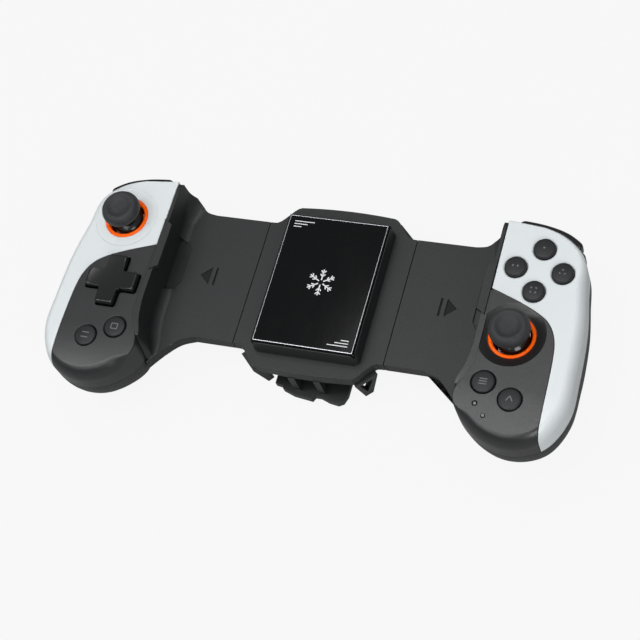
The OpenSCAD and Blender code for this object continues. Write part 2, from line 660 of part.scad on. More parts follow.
// Places of the controls, from the inner wall outwards
left_stick_at = [inner_x + 18.5, 15];
right_stick_at = [inner_x + 12.5, -15.4];
face_mid = [inner_x + 17.4, 14.3];
face_at = [for (a = [90, 180, 0, 270]) face_mid + face_pitch * [cos(a - 1), sin(a - 1)]];
pad_at = [inner_x + 14.3, -16.3];
inner_func_at = [inner_x + 6.1, -37.4];
outer_func_at = [inner_x + 18.1, -43.2];
lights_at = [[inner_x + 4.7, -46.7], [inner_x + 9, -51.2]];

// Screws that hold a grip together, from pockets in the rear case up into bosses of the front shells
cover_screw_at = [[inner_x + 6.8, 5.8], [inner_x + grip_w - 11.4, 0.5]];
face_screw_at = [[inner_x + 26.5, -24.8], [inner_x + 24.5, -36.2]];
case_screw_at = concat(cover_screw_at, face_screw_at);
case_screw_r = 1.05;
case_head_r = 2.2;
case_head_h = 1.4;
pocket_top = 9 - grip_drop;
screw_tip = 8;
pillar_r = 2.7;
front_boss_r = 2;
board_t = 1.6;
board_top = split_z + 1;
board_in = 2.6;
board_back = 8.8;

ceiling = grip_rise - wall;
ring_r = ring_d / 2;
ring_gap = 0.15;

// Shoulder button: a curved bar in a window of the cover, turning on a post under the cover
bar_z = [7.6, ceiling - 0.4];
bar_in = -3;
bar_out = 2.7;
bar_from = inner_x + 3.7;
bar_to = inner_x + grip_w - 9.2;
post_at = [inner_x + 9, grip_top - 5.2];
post_r = 1;
post_boss = 2.3;
window_gap = 0.5;

module front_shell() intersection() {
    grip_shell();
    slab(split_z, grip_rise + 1);
}
module screw_bosses(places) for (p = places) difference() {
    rod_z(front_boss_r, board_top, ceiling + eps, p);
    rod_z(case_screw_r + 0.02, board_top - 1, screw_tip + 0.5, p);
}
module cover_shell() {
    difference() {
        intersection() {
            front_shell();
            translate([0, 0, split_z]) linear_extrude(grip_rise) cover_region();
        }
        translate([0, 0, bar_z[0] - window_gap]) linear_extrude(ceiling - bar_z[0] + window_gap)
            edge_strip(bar_in - 2, bar_out + 2, bar_from - window_gap, bar_to + window_gap);
    }
    rod_z(post_r, bar_z[0] - 0.4, ceiling + eps, post_at);
    screw_bosses(cover_screw_at);
}
module face_shell() {
    intersection() {
        front_shell();
        translate([0, 0, split_z]) linear_extrude(grip_rise) face_region();
    }
    screw_bosses(face_screw_at);
}

module left_cover() color(shell_white) left_side() difference() {
    cover_shell();
    rod_z(ring_r + ring_gap, ceiling - 3, grip_rise + 1, left_stick_at);
}
module right_cover() color(shell_white) difference() {
    cover_shell();
    for (p = face_at) rod_z(face_d / 2 + button_gap, ceiling - 3, grip_rise + 1, p);
}

pad_gap = 0.55;
module pad_cross(grow, corner) offset(r = corner) offset(delta = grow - corner) {
    square([pad_span, pad_arm], center = true);
    square([pad_arm, pad_span], center = true);
}
module function_holes() for (p = [inner_func_at, outer_func_at])
    rod_z(func_d / 2 + button_gap, ceiling - 3, grip_rise + 1, p);
module left_face() color(charcoal) left_side() difference() {
    face_shell();
    function_holes();
    translate([pad_at.x, pad_at.y, ceiling - 1]) linear_extrude(wall + 2) pad_cross(pad_gap, 1, $fn = 32);
}

dish_r = 14;
light_r = 0.7;
module right_face() color(charcoal) difference() {
    union() {
        face_shell();
        intersection() {
            rod_z(dish_r + 1, ceiling - stick_sunk, ceiling + 0.5, right_stick_at);
            linear_extrude(grip_rise) intersection() {
                face_region();
                translate([inner_x + wall / 2, -grip_end]) square([grip_w, grip_end + grip_top]);
            }
        }
    }
    function_holes();
    rod_z(ring_r + ring_gap, ceiling - stick_sunk - 1, grip_rise + 1, right_stick_at);
    translate([right_stick_at.x, right_stick_at.y, grip_rise - stick_sunk])
        cylinder(r1 = ring_r + 0.4, r2 = dish_r + 0.1, h = stick_sunk + 0.05);
    for (p = lights_at) rod_z(light_r + 0.02, ceiling - 4, grip_rise + 1, p);
}
module indicator_lights() color("white") for (p = lights_at) rod_z(light_r, ceiling - 1.5, grip_rise - 0.4, p);

floor_z = wall - grip_drop;

// Trigger: finger bar outside, arms inside to a pin across two ears of the rear case
pin_y = grip_top - 14.3;
pin_z = -3;
pin_r = 1.25;
finger_z = [-9.5, -0.2];
finger_in = -3.5;
arm_x = [inner_x + 7.1, inner_x + 18.6];
trigger_boss = 2.6;
ear_t = 2.4;
ear_gap = 0.4;
ear_half = 2.6;
ear_z = [floor_z + 0.6, pin_z + 2.6];
recess_in = -4.7;
// Room that the finger's outer end needs when it swings
recess_gap = 1.3;
recess_low = finger_z[0] - 4;

// Rumble motor on its cradle
motor_r = 5;
motor_x = [inner_x + 11, inner_x + grip_w - 19];
motor_y = 3;
motor_z = floor_z + motor_r + 0.8;
weight_w = 3.5;
cradle_half = 3.6;
cradle_h = 2.5;

// How far the wing's rear plate reaches into the grip's wall
plate_root = 0.75 * wall + shell_gap;
pillar_low = floor_z - 0.3;
module rear_case() color(charcoal) difference() {
    union() {
        intersection() {
            grip_shell();
            slab(-grip_drop - 1, split_z - shell_gap);
        }
        difference() {
            translate([0, 0, -plate_t]) linear_extrude(plate_t - parting) wing_outline(plate_root);
            translate([0, 0, cavity_low]) linear_extrude(plate_t) wing_cavity();
        }
        for (p = peg_at) {
            rod_z(peg_r, cavity_low - eps, -skin, p);
            rod_z(peg_shoulder, cavity_low - eps, fork_low, p);
        }
        for (p = case_screw_at) rod_z(pillar_r, pillar_low, board_top - board_t, p);
        box([inner_x + wall / 2, pin_y - ear_half, pin_z - ear_half],
            [arm_x[0] - ear_gap, pin_y + ear_half, ear_z[1]]);
        box([arm_x[1] + ear_gap, pin_y - ear_half, ear_z[0]],
            [arm_x[1] + ear_gap + ear_t, pin_y + ear_half, ear_z[1]]);
        box([motor_x[0] + 2, motor_y - cradle_half, floor_z - wall / 2],
            [motor_x[1] - 2, motor_y + cradle_half, floor_z + cradle_h]);
    }
    translate([0, 0, recess_low]) linear_extrude(split_z - recess_low)
        edge_strip(recess_in, finger_out + 4, finger_from - window_gap, finger_to + recess_gap);
    rod_x(motor_r + 0.02, motor_x[0], motor_x[1], motor_y, motor_z);
    rod_x(pin_r + 0.02, arm_x[0] - 4, arm_x[1] + 10, pin_y, pin_z);
    for (p = case_screw_at) {
        rod_z(case_screw_r + turn_gap, -grip_drop - 1, split_z, p);
        rod_z(case_head_r + 0.1, -grip_drop - 1, pocket_top, p);
    }
}
module left_rear_case() left_side() rear_case();
module right_rear_case() rear_case();
module left_wing() left_side() wing();
module right_wing() wing();

module grip_screws() color(metal) for (p = case_screw_at) {
    rod_z(case_head_r, pocket_top - case_head_h, pocket_top, p);
    rod_z(case_screw_r, pocket_top - eps, screw_tip, p);
}
module left_screws() left_side() grip_screws();
module right_screws() grip_screws();

module board() color(board_green) translate([0, 0, board_top - board_t]) linear_extrude(board_t) difference() {
    intersection() {
        offset(delta = -board_in) polygon(grip_line);
        translate([inner_x - grip_w, -grip_end]) square([3 * grip_w, grip_end + grip_top - board_back]);
    }
    for (p = case_screw_at) translate(p) circle(case_screw_r + 0.15);
}
module left_board() left_side() board();
module right_board() board();

battery_at = [inner_x + 10, -37, floor_z];
battery_size = [11, 32, 7];
module battery() color("#8a8f94") left_side() box(battery_at, battery_at + battery_size);

module rumble_motor() color(metal) {
    rod_x(motor_r, motor_x[0], motor_x[1], motor_y, motor_z);
    rod_x(1, motor_x[1] - eps, motor_x[1] + weight_w + 1, motor_y, motor_z);
    intersection() {
        rod_x(motor_r - 0.5, motor_x[1] + 1, motor_x[1] + 1 + weight_w, motor_y, motor_z);
        slab(motor_z - 0.3, 0);
    }
}
module left_rumble_motor() left_side() rumble_motor();
module right_rumble_motor() rumble_motor();

pin_start = arm_x[0] - 3.8;
module trigger_pin() color(metal) rod_x(pin_r, pin_start, arm_x[1] + ear_gap + ear_t, pin_y, pin_z);
module left_trigger_pin() left_side() trigger_pin();
module right_trigger_pin() trigger_pin();

arm_short = 4;
module trigger() color(charcoal) difference() {
    union() {
        translate([0, 0, finger_z[0]]) linear_extrude(finger_z[1] - finger_z[0])
            edge_strip(finger_in, finger_out, finger_from, finger_to);
        rod_x(trigger_boss, arm_x[0], arm_x[1], pin_y, pin_z);
        box([arm_x[0], pin_y, pin_z - trigger_boss], [arm_x[1], grip_top - arm_short, finger_z[1] - 0.2]);
    }
    rod_x(pin_r + turn_gap, arm_x[0] - 1, arm_x[1] + 1, pin_y, pin_z);
}
module left_trigger() left_side() trigger();
module right_trigger() trigger();

module shoulder() color(charcoal) difference() {
    union() {
        translate([0, 0, bar_z[0]]) linear_extrude(bar_z[1] - bar_z[0])
            edge_strip(bar_in, bar_out, bar_from, bar_to);
        rod_z(post_boss, bar_z[0], bar_z[1], post_at);
    }
    rod_z(post_r + turn_gap, bar_z[0] - 1, bar_z[1] + 1, post_at);
}
module left_shoulder() left_side() shoulder();
module right_shoulder() shoulder();

// Round buttons with a flange under the shell and a plunger to the board
flange = 0.9;
flange_t = 1.2;
plunger_r = 3;
plunger_low = board_top + face_travel + 1.1;
face_proud = 1.7;
func_proud = 0.8;
module push_button(at, d, proud) color(charcoal) {
    rod_z(d / 2, ceiling - slide_gap - flange_t, grip_rise + proud, at);
    rod_z(d / 2 + flange, ceiling - slide_gap - flange_t, ceiling - slide_gap, at);
    rod_z(plunger_r, plunger_low, ceiling - slide_gap, at);
}
module face_button_top() push_button(face_at[0], face_d, face_proud);
module face_button_left() push_button(face_at[1], face_d, face_proud);
module face_button_right() push_button(face_at[2], face_d, face_proud);
module face_button_bottom() push_button(face_at[3], face_d, face_proud);
module left_inner_button() left_side() push_button(inner_func_at, func_d, func_proud);
module left_outer_button() left_side() push_button(outer_func_at, func_d, func_proud);
module right_inner_button() push_button(inner_func_at, func_d, func_proud);
module right_outer_button() push_button(outer_func_at, func_d, func_proud);

// Directional pad on a cross-shaped pivot in a bracket
pad_pivot_z = ceiling - 2.4;
pad_rise = 3;
pad_pin_r = 0.9;
pad_skirt = 1;
skirt_z = [ceiling - 2.5, ceiling - 1.3];
pad_roof = ceiling + 0.6;
bracket_ear = [4.2, 5.8];
pad_ear = [3.6, 5.2];
module dpad() color(black) left_side() translate([pad_at.x, pad_at.y, 0]) difference() {
    union() {
        difference() {
            union() {
                translate([0, 0, skirt_z[1] - eps]) linear_extrude(grip_rise + pad_rise - skirt_z[1])
                    pad_cross(0, 1, $fn = 32);
                translate([0, 0, skirt_z[0]]) linear_extrude(skirt_z[1] - skirt_z[0]) {
                    square([pad_span, pad_arm + 2 * pad_skirt], center = true);
                    square([pad_arm + 2 * pad_skirt, pad_span], center = true);
                }
            }
            box([-bracket_ear[1] - 0.5, -pad_ear[1] - 0.4, skirt_z[0] - 1],
                [bracket_ear[1] + 0.5, pad_ear[1] + 0.4, pad_roof]);
        }
        for (s = [0, 1]) mirror([0, s, 0])
            box([-2, pad_ear[0], pad_pivot_z - 1.8], [2, pad_ear[1], pad_roof + 0.2]);
    }
    rod_y(pad_pin_r + turn_gap, -pad_ear[1] - 1, pad_ear[1] + 1, 0, pad_pivot_z);
}
module dpad_pivot() color(metal) left_side() translate([pad_at.x, pad_at.y, 0]) {
    box([-2.6, -3.2, pad_pivot_z - 1.3], [2.6, 3.2, pad_pivot_z + 1.3]);
    rod_y(pad_pin_r, -pad_ear[1] + 0.2, pad_ear[1] - 0.2, 0, pad_pivot_z);
    rod_x(pad_pin_r, -bracket_ear[1] + 0.2, bracket_ear[1] - 0.2, 0, pad_pivot_z);
}
module dpad_bracket() color(black) left_side() translate([pad_at.x, pad_at.y, 0]) difference() {
    union() {
        box([-bracket_ear[1], -4, board_top], [bracket_ear[1], 4, board_top + 1.2]);
        for (s = [0, 1]) mirror([s, 0, 0])
            box([bracket_ear[0], -2.2, board_top + 1], [bracket_ear[1], 2.2, pad_pivot_z + 1.5]);
    }
    rod_x(pad_pin_r + turn_gap, -bracket_ear[1] - 1, bracket_ear[1] + 1, 0, pad_pivot_z);
}

// Thumb sticks: housing, gimbal, inner pivot and cap, drawn about the pivot point
house_half = 8.2;
house_wall = 1.2;
gimbal_half = 5.8;
gimbal_in = 4.4;
gimbal_pin = 1;
inner_pin = 0.9;
stem_r = 1.55;
dome_r = 9;
dome_t = 0.8;
dome_edge = 51;
module stick_base(at, pivot) color(black) translate([at.x, at.y, 0]) difference() {
    box([-house_half, -house_half, board_top], [house_half, house_half, pivot + 1.9]);
    box([house_wall - house_half, house_wall - house_half, pivot - 4],
        [house_half - house_wall, house_half - house_wall, pivot + 3]);
    rod_x(gimbal_pin + turn_gap, -house_half - 1, house_half + 1, 0, pivot);
}
module stick_gimbal(at, pivot) color(metal) translate([at.x, at.y, pivot]) difference() {
    union() {
        difference() {
            box([-gimbal_half, -gimbal_half, -1.2], [gimbal_half, gimbal_half, 1.2]);
            box([-gimbal_in, -gimbal_in, -2], [gimbal_in, gimbal_in, 2]);
        }
        for (s = [0, 1]) mirror([s, 0, 0]) rod_x(gimbal_pin, gimbal_half - 0.3, house_half - 0.3, 0, 0);
    }
    rod_y(inner_pin + turn_gap, -gimbal_half - 1, gimbal_half + 1, 0, 0);
}
module stick_pivot_block(at, pivot) color(black) translate([at.x, at.y, pivot]) difference() {
    union() {
        box([-3.4, -4, -1.8], [3.4, 4, 1.8]);
        rod_y(inner_pin, -gimbal_half + 0.1, gimbal_half - 0.1, 0, 0);
        rod_z(2.8, 1.8 - eps, 3.4, [0, 0]);
    }
    rod_z(stem_r + turn_gap, -0.8, 4, [0, 0]);
}
neck_r = 3.6;
cap_high = 18;
cap_r = cap_d / 2;
module stick_cap(at, pivot) color(rubber) translate([at.x, at.y, pivot]) {
    rod_z(stem_r, 0, dome_r - 0.5, [0, 0]);
    rotate_extrude() polygon(concat(
        arc([0, 0], dome_r, 90, 90 - dome_edge, 10),
        arc([0, 0], dome_r - dome_t, 90 - dome_edge, 90, 10)));
    rotate_extrude() polygon([[0, dome_r - 0.6], [neck_r, dome_r - 0.6], [neck_r, 11.4], [cap_r - 1.6, 12.2],
        [cap_r - 0.3, 13.4], [cap_r, 14.6], [cap_r - 0.2, 15.8], [cap_r - 1, 17.2], [cap_r - 2.2, cap_high],
        [cap_r - 3, cap_high - 0.1], [cap_r - 4.4, cap_high - 0.9], [0, cap_high - 1.3]]);
}
ring_flange = 0.6;
module stick_ring(at, sunk) color(orange) translate([at.x, at.y, -sunk]) rotate_extrude() polygon([
    [ring_r - 1.5, ceiling - 1.2], [ring_r + ring_flange, ceiling - 1.2], [ring_r + ring_flange, ceiling],
    [ring_r, ceiling],
    [ring_r, grip_rise], [ring_r - 0.3, grip_rise + 0.3], [ring_r - 0.75, grip_rise + 0.4],
    [ring_r - 1.2, grip_rise + 0.3], [ring_r - 1.5, grip_rise]]);

right_pivot = stick_pivot - stick_sunk;
module left_stick_base() left_side() stick_base(left_stick_at, stick_pivot);
module left_stick_gimbal() left_side() stick_gimbal(left_stick_at, stick_pivot);
module left_stick_pivot() left_side() stick_pivot_block(left_stick_at, stick_pivot);
module left_stick_cap() left_side() stick_cap(left_stick_at, stick_pivot);
module left_stick_ring() left_side() stick_ring(left_stick_at, 0);
module right_stick_base() stick_base(right_stick_at, right_pivot);
module right_stick_gimbal() stick_gimbal(right_stick_at, right_pivot);
module right_stick_pivot() stick_pivot_block(right_stick_at, right_pivot);
module right_stick_cap() stick_cap(right_stick_at, right_pivot);
module right_stick_ring() stick_ring(right_stick_at, stick_sunk);

placed() centre_front_cover();
placed() centre_rear_cover();
placed() cooler_frame();
placed() cold_plate();
placed() cooling_panel();
placed() cooling_module();
placed() heat_sink();
placed() fan_motor();
placed() fan_rotor();
placed() rear_guard();
placed() corner_feet();
placed() sync_pinion();
placed() pull_spring();
placed() centre_screws();
placed() charging_port();
placed() left_wing();
placed() left_rear_case();
placed() left_cover();
placed() left_face();
placed() left_fork();
placed() left_board();
placed() battery();
placed() left_rumble_motor();
placed() left_trigger_pin();
placed() left_screws();
placed() left_stick_ring();
placed() left_stick_base();
placed() left_stick_gimbal();
placed() left_stick_pivot();
placed() left_stick_cap();
placed() dpad_bracket();
placed() dpad_pivot();
placed() dpad();
placed() left_inner_button();
placed() left_outer_button();
placed() left_shoulder();
placed() left_trigger();
placed() right_wing();
placed() right_rear_case();
placed() right_cover();
placed() right_face();
placed() right_fork();
placed() right_board();
placed() right_rumble_motor();
placed() right_trigger_pin();
placed() right_screws();
placed() indicator_lights();
placed() right_stick_ring();
placed() right_stick_base();
placed() right_stick_gimbal();
placed() right_stick_pivot();
placed() right_stick_cap();
placed() face_button_top();
placed() face_button_left();
placed() face_button_right();
placed() face_button_bottom();
placed() right_inner_button();
placed() right_outer_button();
placed() right_shoulder();
placed() right_trigger();
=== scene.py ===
"""Dressed scene of a phone controller that stretches around a phone, with a cooling block in its middle.

Drawing units are millimetres from the middle of the plates' top face. Place turns them into the shared
frame's metres. The right grip is drawn, and the left one mirrors it.
"""
import logging
import math
from dataclasses import dataclass, field
from enum import Enum
from typing import Any, Sequence

import bmesh
import bpy
import numpy as np
from mathutils import Matrix, Vector


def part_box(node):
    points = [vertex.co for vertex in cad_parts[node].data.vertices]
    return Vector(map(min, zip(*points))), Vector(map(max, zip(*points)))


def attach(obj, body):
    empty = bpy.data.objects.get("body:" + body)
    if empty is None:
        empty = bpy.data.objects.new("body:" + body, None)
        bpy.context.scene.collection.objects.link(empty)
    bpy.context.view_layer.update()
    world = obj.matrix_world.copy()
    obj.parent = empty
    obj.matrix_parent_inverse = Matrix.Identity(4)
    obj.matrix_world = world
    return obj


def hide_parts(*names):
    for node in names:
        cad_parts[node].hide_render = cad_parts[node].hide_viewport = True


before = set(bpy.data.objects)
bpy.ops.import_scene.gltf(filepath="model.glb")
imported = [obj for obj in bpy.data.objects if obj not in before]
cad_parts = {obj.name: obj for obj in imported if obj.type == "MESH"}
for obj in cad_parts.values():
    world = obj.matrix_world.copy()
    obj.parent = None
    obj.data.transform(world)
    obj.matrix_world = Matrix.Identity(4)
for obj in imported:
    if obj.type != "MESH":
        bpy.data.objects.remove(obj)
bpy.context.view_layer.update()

LOG = logging.getLogger("controller")
MM = 0.001
Point = tuple[float, float]
Triple = tuple[float, float, float]
Colour = Triple


class Side(Enum):
    """Which grip a piece belongs to, as the sign of its x."""

    LEFT = -1
    RIGHT = 1

    @property
    def word(self) -> str:
        """Name of the side as it stands in piece and body names."""
        return self.name.lower()


class Cut(Enum):
    """What a cutting shape does to a piece."""

    REMOVE = "DIFFERENCE"
    KEEP = "INTERSECT"
    JOIN = "UNION"


def smooth(t: float) -> float:
    """Ease from 0 to 1 with level ends."""
    u = min(1.0, max(0.0, t))
    return u * u * (3 - 2 * u)


def mix(a: float, b: float, t: float) -> float:
    """Value between a and b at share t."""
    return a + (b - a) * t


def spline(knots: Sequence[Sequence[float]], steps: int) -> np.ndarray:
    """Points of a smooth curve through knots.

    Args:
        knots: The points that the curve passes through.
        steps: Number of points from one knot to the next.

    Returns:
        The curve's points, both ends among them.
    """
    k = np.asarray(knots, dtype=float)
    last = len(k) - 1
    t = (np.arange(steps) / steps)[:, None]
    runs = []
    for i in range(last):
        a, b, c, d = k[max(i - 1, 0)], k[i], k[i + 1], k[min(i + 2, last)]
        bend, twist = 2 * a - 5 * b + 4 * c - d, 3 * b - a - 3 * c + d
        runs.append(0.5 * (2 * b + (c - a) * t + bend * t**2 + twist * t**3))
    return np.vstack(runs + [k[last:]])


def inward(line: np.ndarray) -> np.ndarray:
    """Inward normals of a closed outline, long enough to keep an inset even at corners.

    Args:
        line: Points of an outline that runs counterclockwise.

    Returns:
        One normal for each point.
    """
    ahead = np.roll(line, -1, axis=0) - line
    ahead /= np.linalg.norm(ahead, axis=1)[:, None]
    b = np.column_stack([-ahead[:, 1], ahead[:, 0]])
    a = np.roll(b, 1, axis=0)
    return (a + b) / (1 + (a * b).sum(axis=1))[:, None]


def circle(at: Point, radius: float, steps: int = 64) -> np.ndarray:
    """Points of a circle, counterclockwise."""
    turn = np.arange(steps) * 2 * math.pi / steps
    return np.column_stack([at[0] + radius * np.cos(turn), at[1] + radius * np.sin(turn)])


def rounded(corners: Sequence[Point], radius: float, steps: int = 8) -> np.ndarray:
    """Outline with its corners rounded.

    Args:
        corners: Corners of an outline, counterclockwise, turning either way.
        radius: Radius of every corner.
        steps: Points from one end of an arc to the other.

    Returns:
        The rounded outline's points.
    """
    pts = np.asarray(corners, dtype=float)
    out = []
    for i, p in enumerate(pts):
        back = pts[i - 1] - p
        ahead = pts[(i + 1) % len(pts)] - p
        back /= np.linalg.norm(back)
        ahead /= np.linalg.norm(ahead)
        half = math.acos(max(-1.0, min(1.0, float(back @ ahead)))) / 2
        reach = radius / math.tan(half)
        middle = p + (back + ahead) / np.linalg.norm(back + ahead) * radius / math.sin(half)
        start, end = p + back * reach - middle, p + ahead * reach - middle
        a0 = math.atan2(start[1], start[0])
        turn = (math.atan2(end[1], end[0]) - a0 + math.pi) % (2 * math.pi) - math.pi
        for k in range(steps + 1):
            a = a0 + turn * k / steps
            out.append(middle + radius * np.array([math.cos(a), math.sin(a)]))
    return np.array(out)


def stroke(a: Sequence[float], b: Sequence[float], width: float) -> list[np.ndarray]:
    """Corners of a straight bar from a to b.

    Args:
        a: Middle of one end.
        b: Middle of the other end.
        width: Width of the bar.

    Returns:
        The four corners, counterclockwise.
    """
    start, end = np.array(a), np.array(b)
    ahead = (end - start) / np.linalg.norm(end - start)
    out = np.array([-ahead[1], ahead[0]]) * width / 2
    return [start - out, end - out, end + out, start + out]


def level_ring(outline: np.ndarray, height: float) -> np.ndarray:
    """Points of an outline at one height."""
    return np.column_stack([outline, np.full(len(outline), height)])


@dataclass(frozen=True)
class Place:
    """Shift from the drawing's origin to the shared frame, in millimetres."""

    y: float
    z: float

    @classmethod
    def from_frame(cls, panel_height: float) -> "Place":
        """Read the shift from the panel's box.

        Args:
            panel_height: Height of the panel's top face in the drawing.

        Returns:
            The shift.
        """
        low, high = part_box("cooling_panel")
        return cls((low[1] + high[1]) / 2 / MM, high[2] / MM - panel_height)

    def vector(self, x: float, y: float, z: float) -> Vector:
        """Point of the drawing in the frame's metres."""
        return Vector((x, y + self.y, z + self.z)) * MM


class Shape:
    """Faces gathered in drawing millimetres and made into one mesh."""

    def __init__(self) -> None:
        """Start with no faces."""
        self.points: list[Triple] = []
        self.faces: list[tuple[int, ...]] = []

    def loft(self, rings: Sequence[np.ndarray], caps: bool = True, inside_out: bool = False) -> "Shape":
        """Skin closed rings of points.

        Args:
            rings: Rings with the same number of points, counterclockwise, from the top one down.
            caps: Whether the first and last rings are closed.
            inside_out: Whether the faces look inwards, for a hollow.

        Returns:
            This shape.
        """
        base, count = len(self.points), len(rings[0])
        for ring in rings:
            self.points.extend(tuple(float(v) for v in p) for p in ring)
        new = []
        for r in range(len(rings) - 1):
            for i in range(count):
                j = (i + 1) % count
                up, down = base + r * count, base + (r + 1) * count
                new.append((up + i, down + i, down + j, up + j))
        if caps:
            new.append(tuple(base + i for i in range(count)))
            foot = base + (len(rings) - 1) * count
            new.append(tuple(foot + i for i in reversed(range(count))))
        self.faces += [f[::-1] for f in new] if inside_out else new
        return self

    def prism(self, outline: Sequence[Sequence[float]], low: float, high: float) -> "Shape":
        """Add an upright prism over an outline.

        Args:
            outline: Its outline, turning either way.
            low: Height of its foot.
            high: Height of its top.

        Returns:
            This shape.
        """
        line = np.asarray(outline, dtype=float)
        ahead = np.roll(line, -1, axis=0)
        if (line[:, 0] * ahead[:, 1] - line[:, 1] * ahead[:, 0]).sum() < 0:
            line = line[::-1]
        return self.loft([level_ring(line, high), level_ring(line, low)])

    def box(self, low: Sequence[float], high: Sequence[float]) -> "Shape":
        """Add a box between two corners."""
        corners = [(low[0], low[1]), (high[0], low[1]), (high[0], high[1]), (low[0], high[1])]
        return self.prism(corners, low[2], high[2])

    def block(self, at: Point, half: Point, height: Point) -> "Shape":
        """Add an upright box around a point, from half its widths and its lower and upper height."""
        (x, y), (u, v) = at, half
        return self.box((x - u, y - v, height[0]), (x + u, y + v, height[1]))

    def lathe(self, profile: Sequence[Point], at: Point, base: float = 0.0, steps: int = 72) -> "Shape":
        """Add a turned body.

        Args:
            profile: Radius and height, from the top of the axis down to its foot or once round a ring.
            at: Place of the axis.
            base: Height that the profile's heights count from.
            steps: Number of points around.

        Returns:
            This shape.
        """
        rings = []
        for radius, height in profile:
            rings.append(level_ring(circle(at, max(radius, 1e-7), steps), base + height))
        closed = profile[0][0] > 0
        if closed:
            rings.append(rings[0])
        return self.loft(rings, caps=not closed)

    def mirrored(self, side: Side) -> "Shape":
        """This shape on the given side: itself on the right, its mirror image on the left.

        Args:
            side: The side.

        Returns:
            This shape or a mirrored copy.
        """
        if side is Side.RIGHT:
            return self
        other = Shape()
        other.points = [(-x, y, z) for x, y, z in self.points]
        other.faces = [f[::-1] for f in self.faces]
        return other

    def mesh(self, name: str, place: Place) -> bpy.types.Mesh:
        """Make the mesh in the frame's metres, with doubled points joined.

        Args:
            name: Name of the mesh.
            place: Shift from the drawing to the frame.

        Returns:
            The new mesh.
        """
        mesh = bpy.data.meshes.new(name)
        mesh.from_pydata([place.vector(*p) for p in self.points], [], self.faces)
        work = bmesh.new()
        work.from_mesh(mesh)
        bmesh.ops.remove_doubles(work, verts=work.verts, dist=2e-8)
        bmesh.ops.dissolve_degenerate(work, edges=work.edges, dist=1e-8)
        work.to_mesh(mesh)
        work.free()
        mesh.validate()
        return mesh


class Wire:
    """A number socket of a material that takes part in sums written as Python."""

    def __init__(self, graph: "Graph", socket: bpy.types.NodeSocket) -> None:
        """Hold a socket and the graph that it belongs to."""
        self.graph = graph
        self.socket = socket

    def _math(self, operation: str, first: Any, second: Any) -> "Wire":
        """Add one Math node and return its result."""
        return self.graph.add("ShaderNodeMath", {"operation": operation}, {0: first, 1: second})

    def __add__(self, other: Any) -> "Wire":
        """Sum of this value and another."""
        return self._math("ADD", self, other)

    __radd__ = __add__

    def __sub__(self, other: Any) -> "Wire":
        """This value less another."""
        return self._math("SUBTRACT", self, other)

    def __rsub__(self, other: Any) -> "Wire":
        """Another value less this one."""
        return self._math("SUBTRACT", other, self)

    def __mul__(self, other: Any) -> "Wire":
        """Product of this value and another."""
        return self._math("MULTIPLY", self, other)

    __rmul__ = __mul__

    def above(self, edge: float, width: float) -> "Wire":
        """Soft step that rises from 0 to 1 over a width from an edge.

        Args:
            edge: Value where the step starts.
            width: How much further it ends.

        Returns:
            The step's value.
        """
        settings = {"interpolation_type": "SMOOTHSTEP"}
        return self.graph.add(
            "ShaderNodeMapRange", settings, {"Value": self, "From Min": edge, "From Max": edge + width}
        )


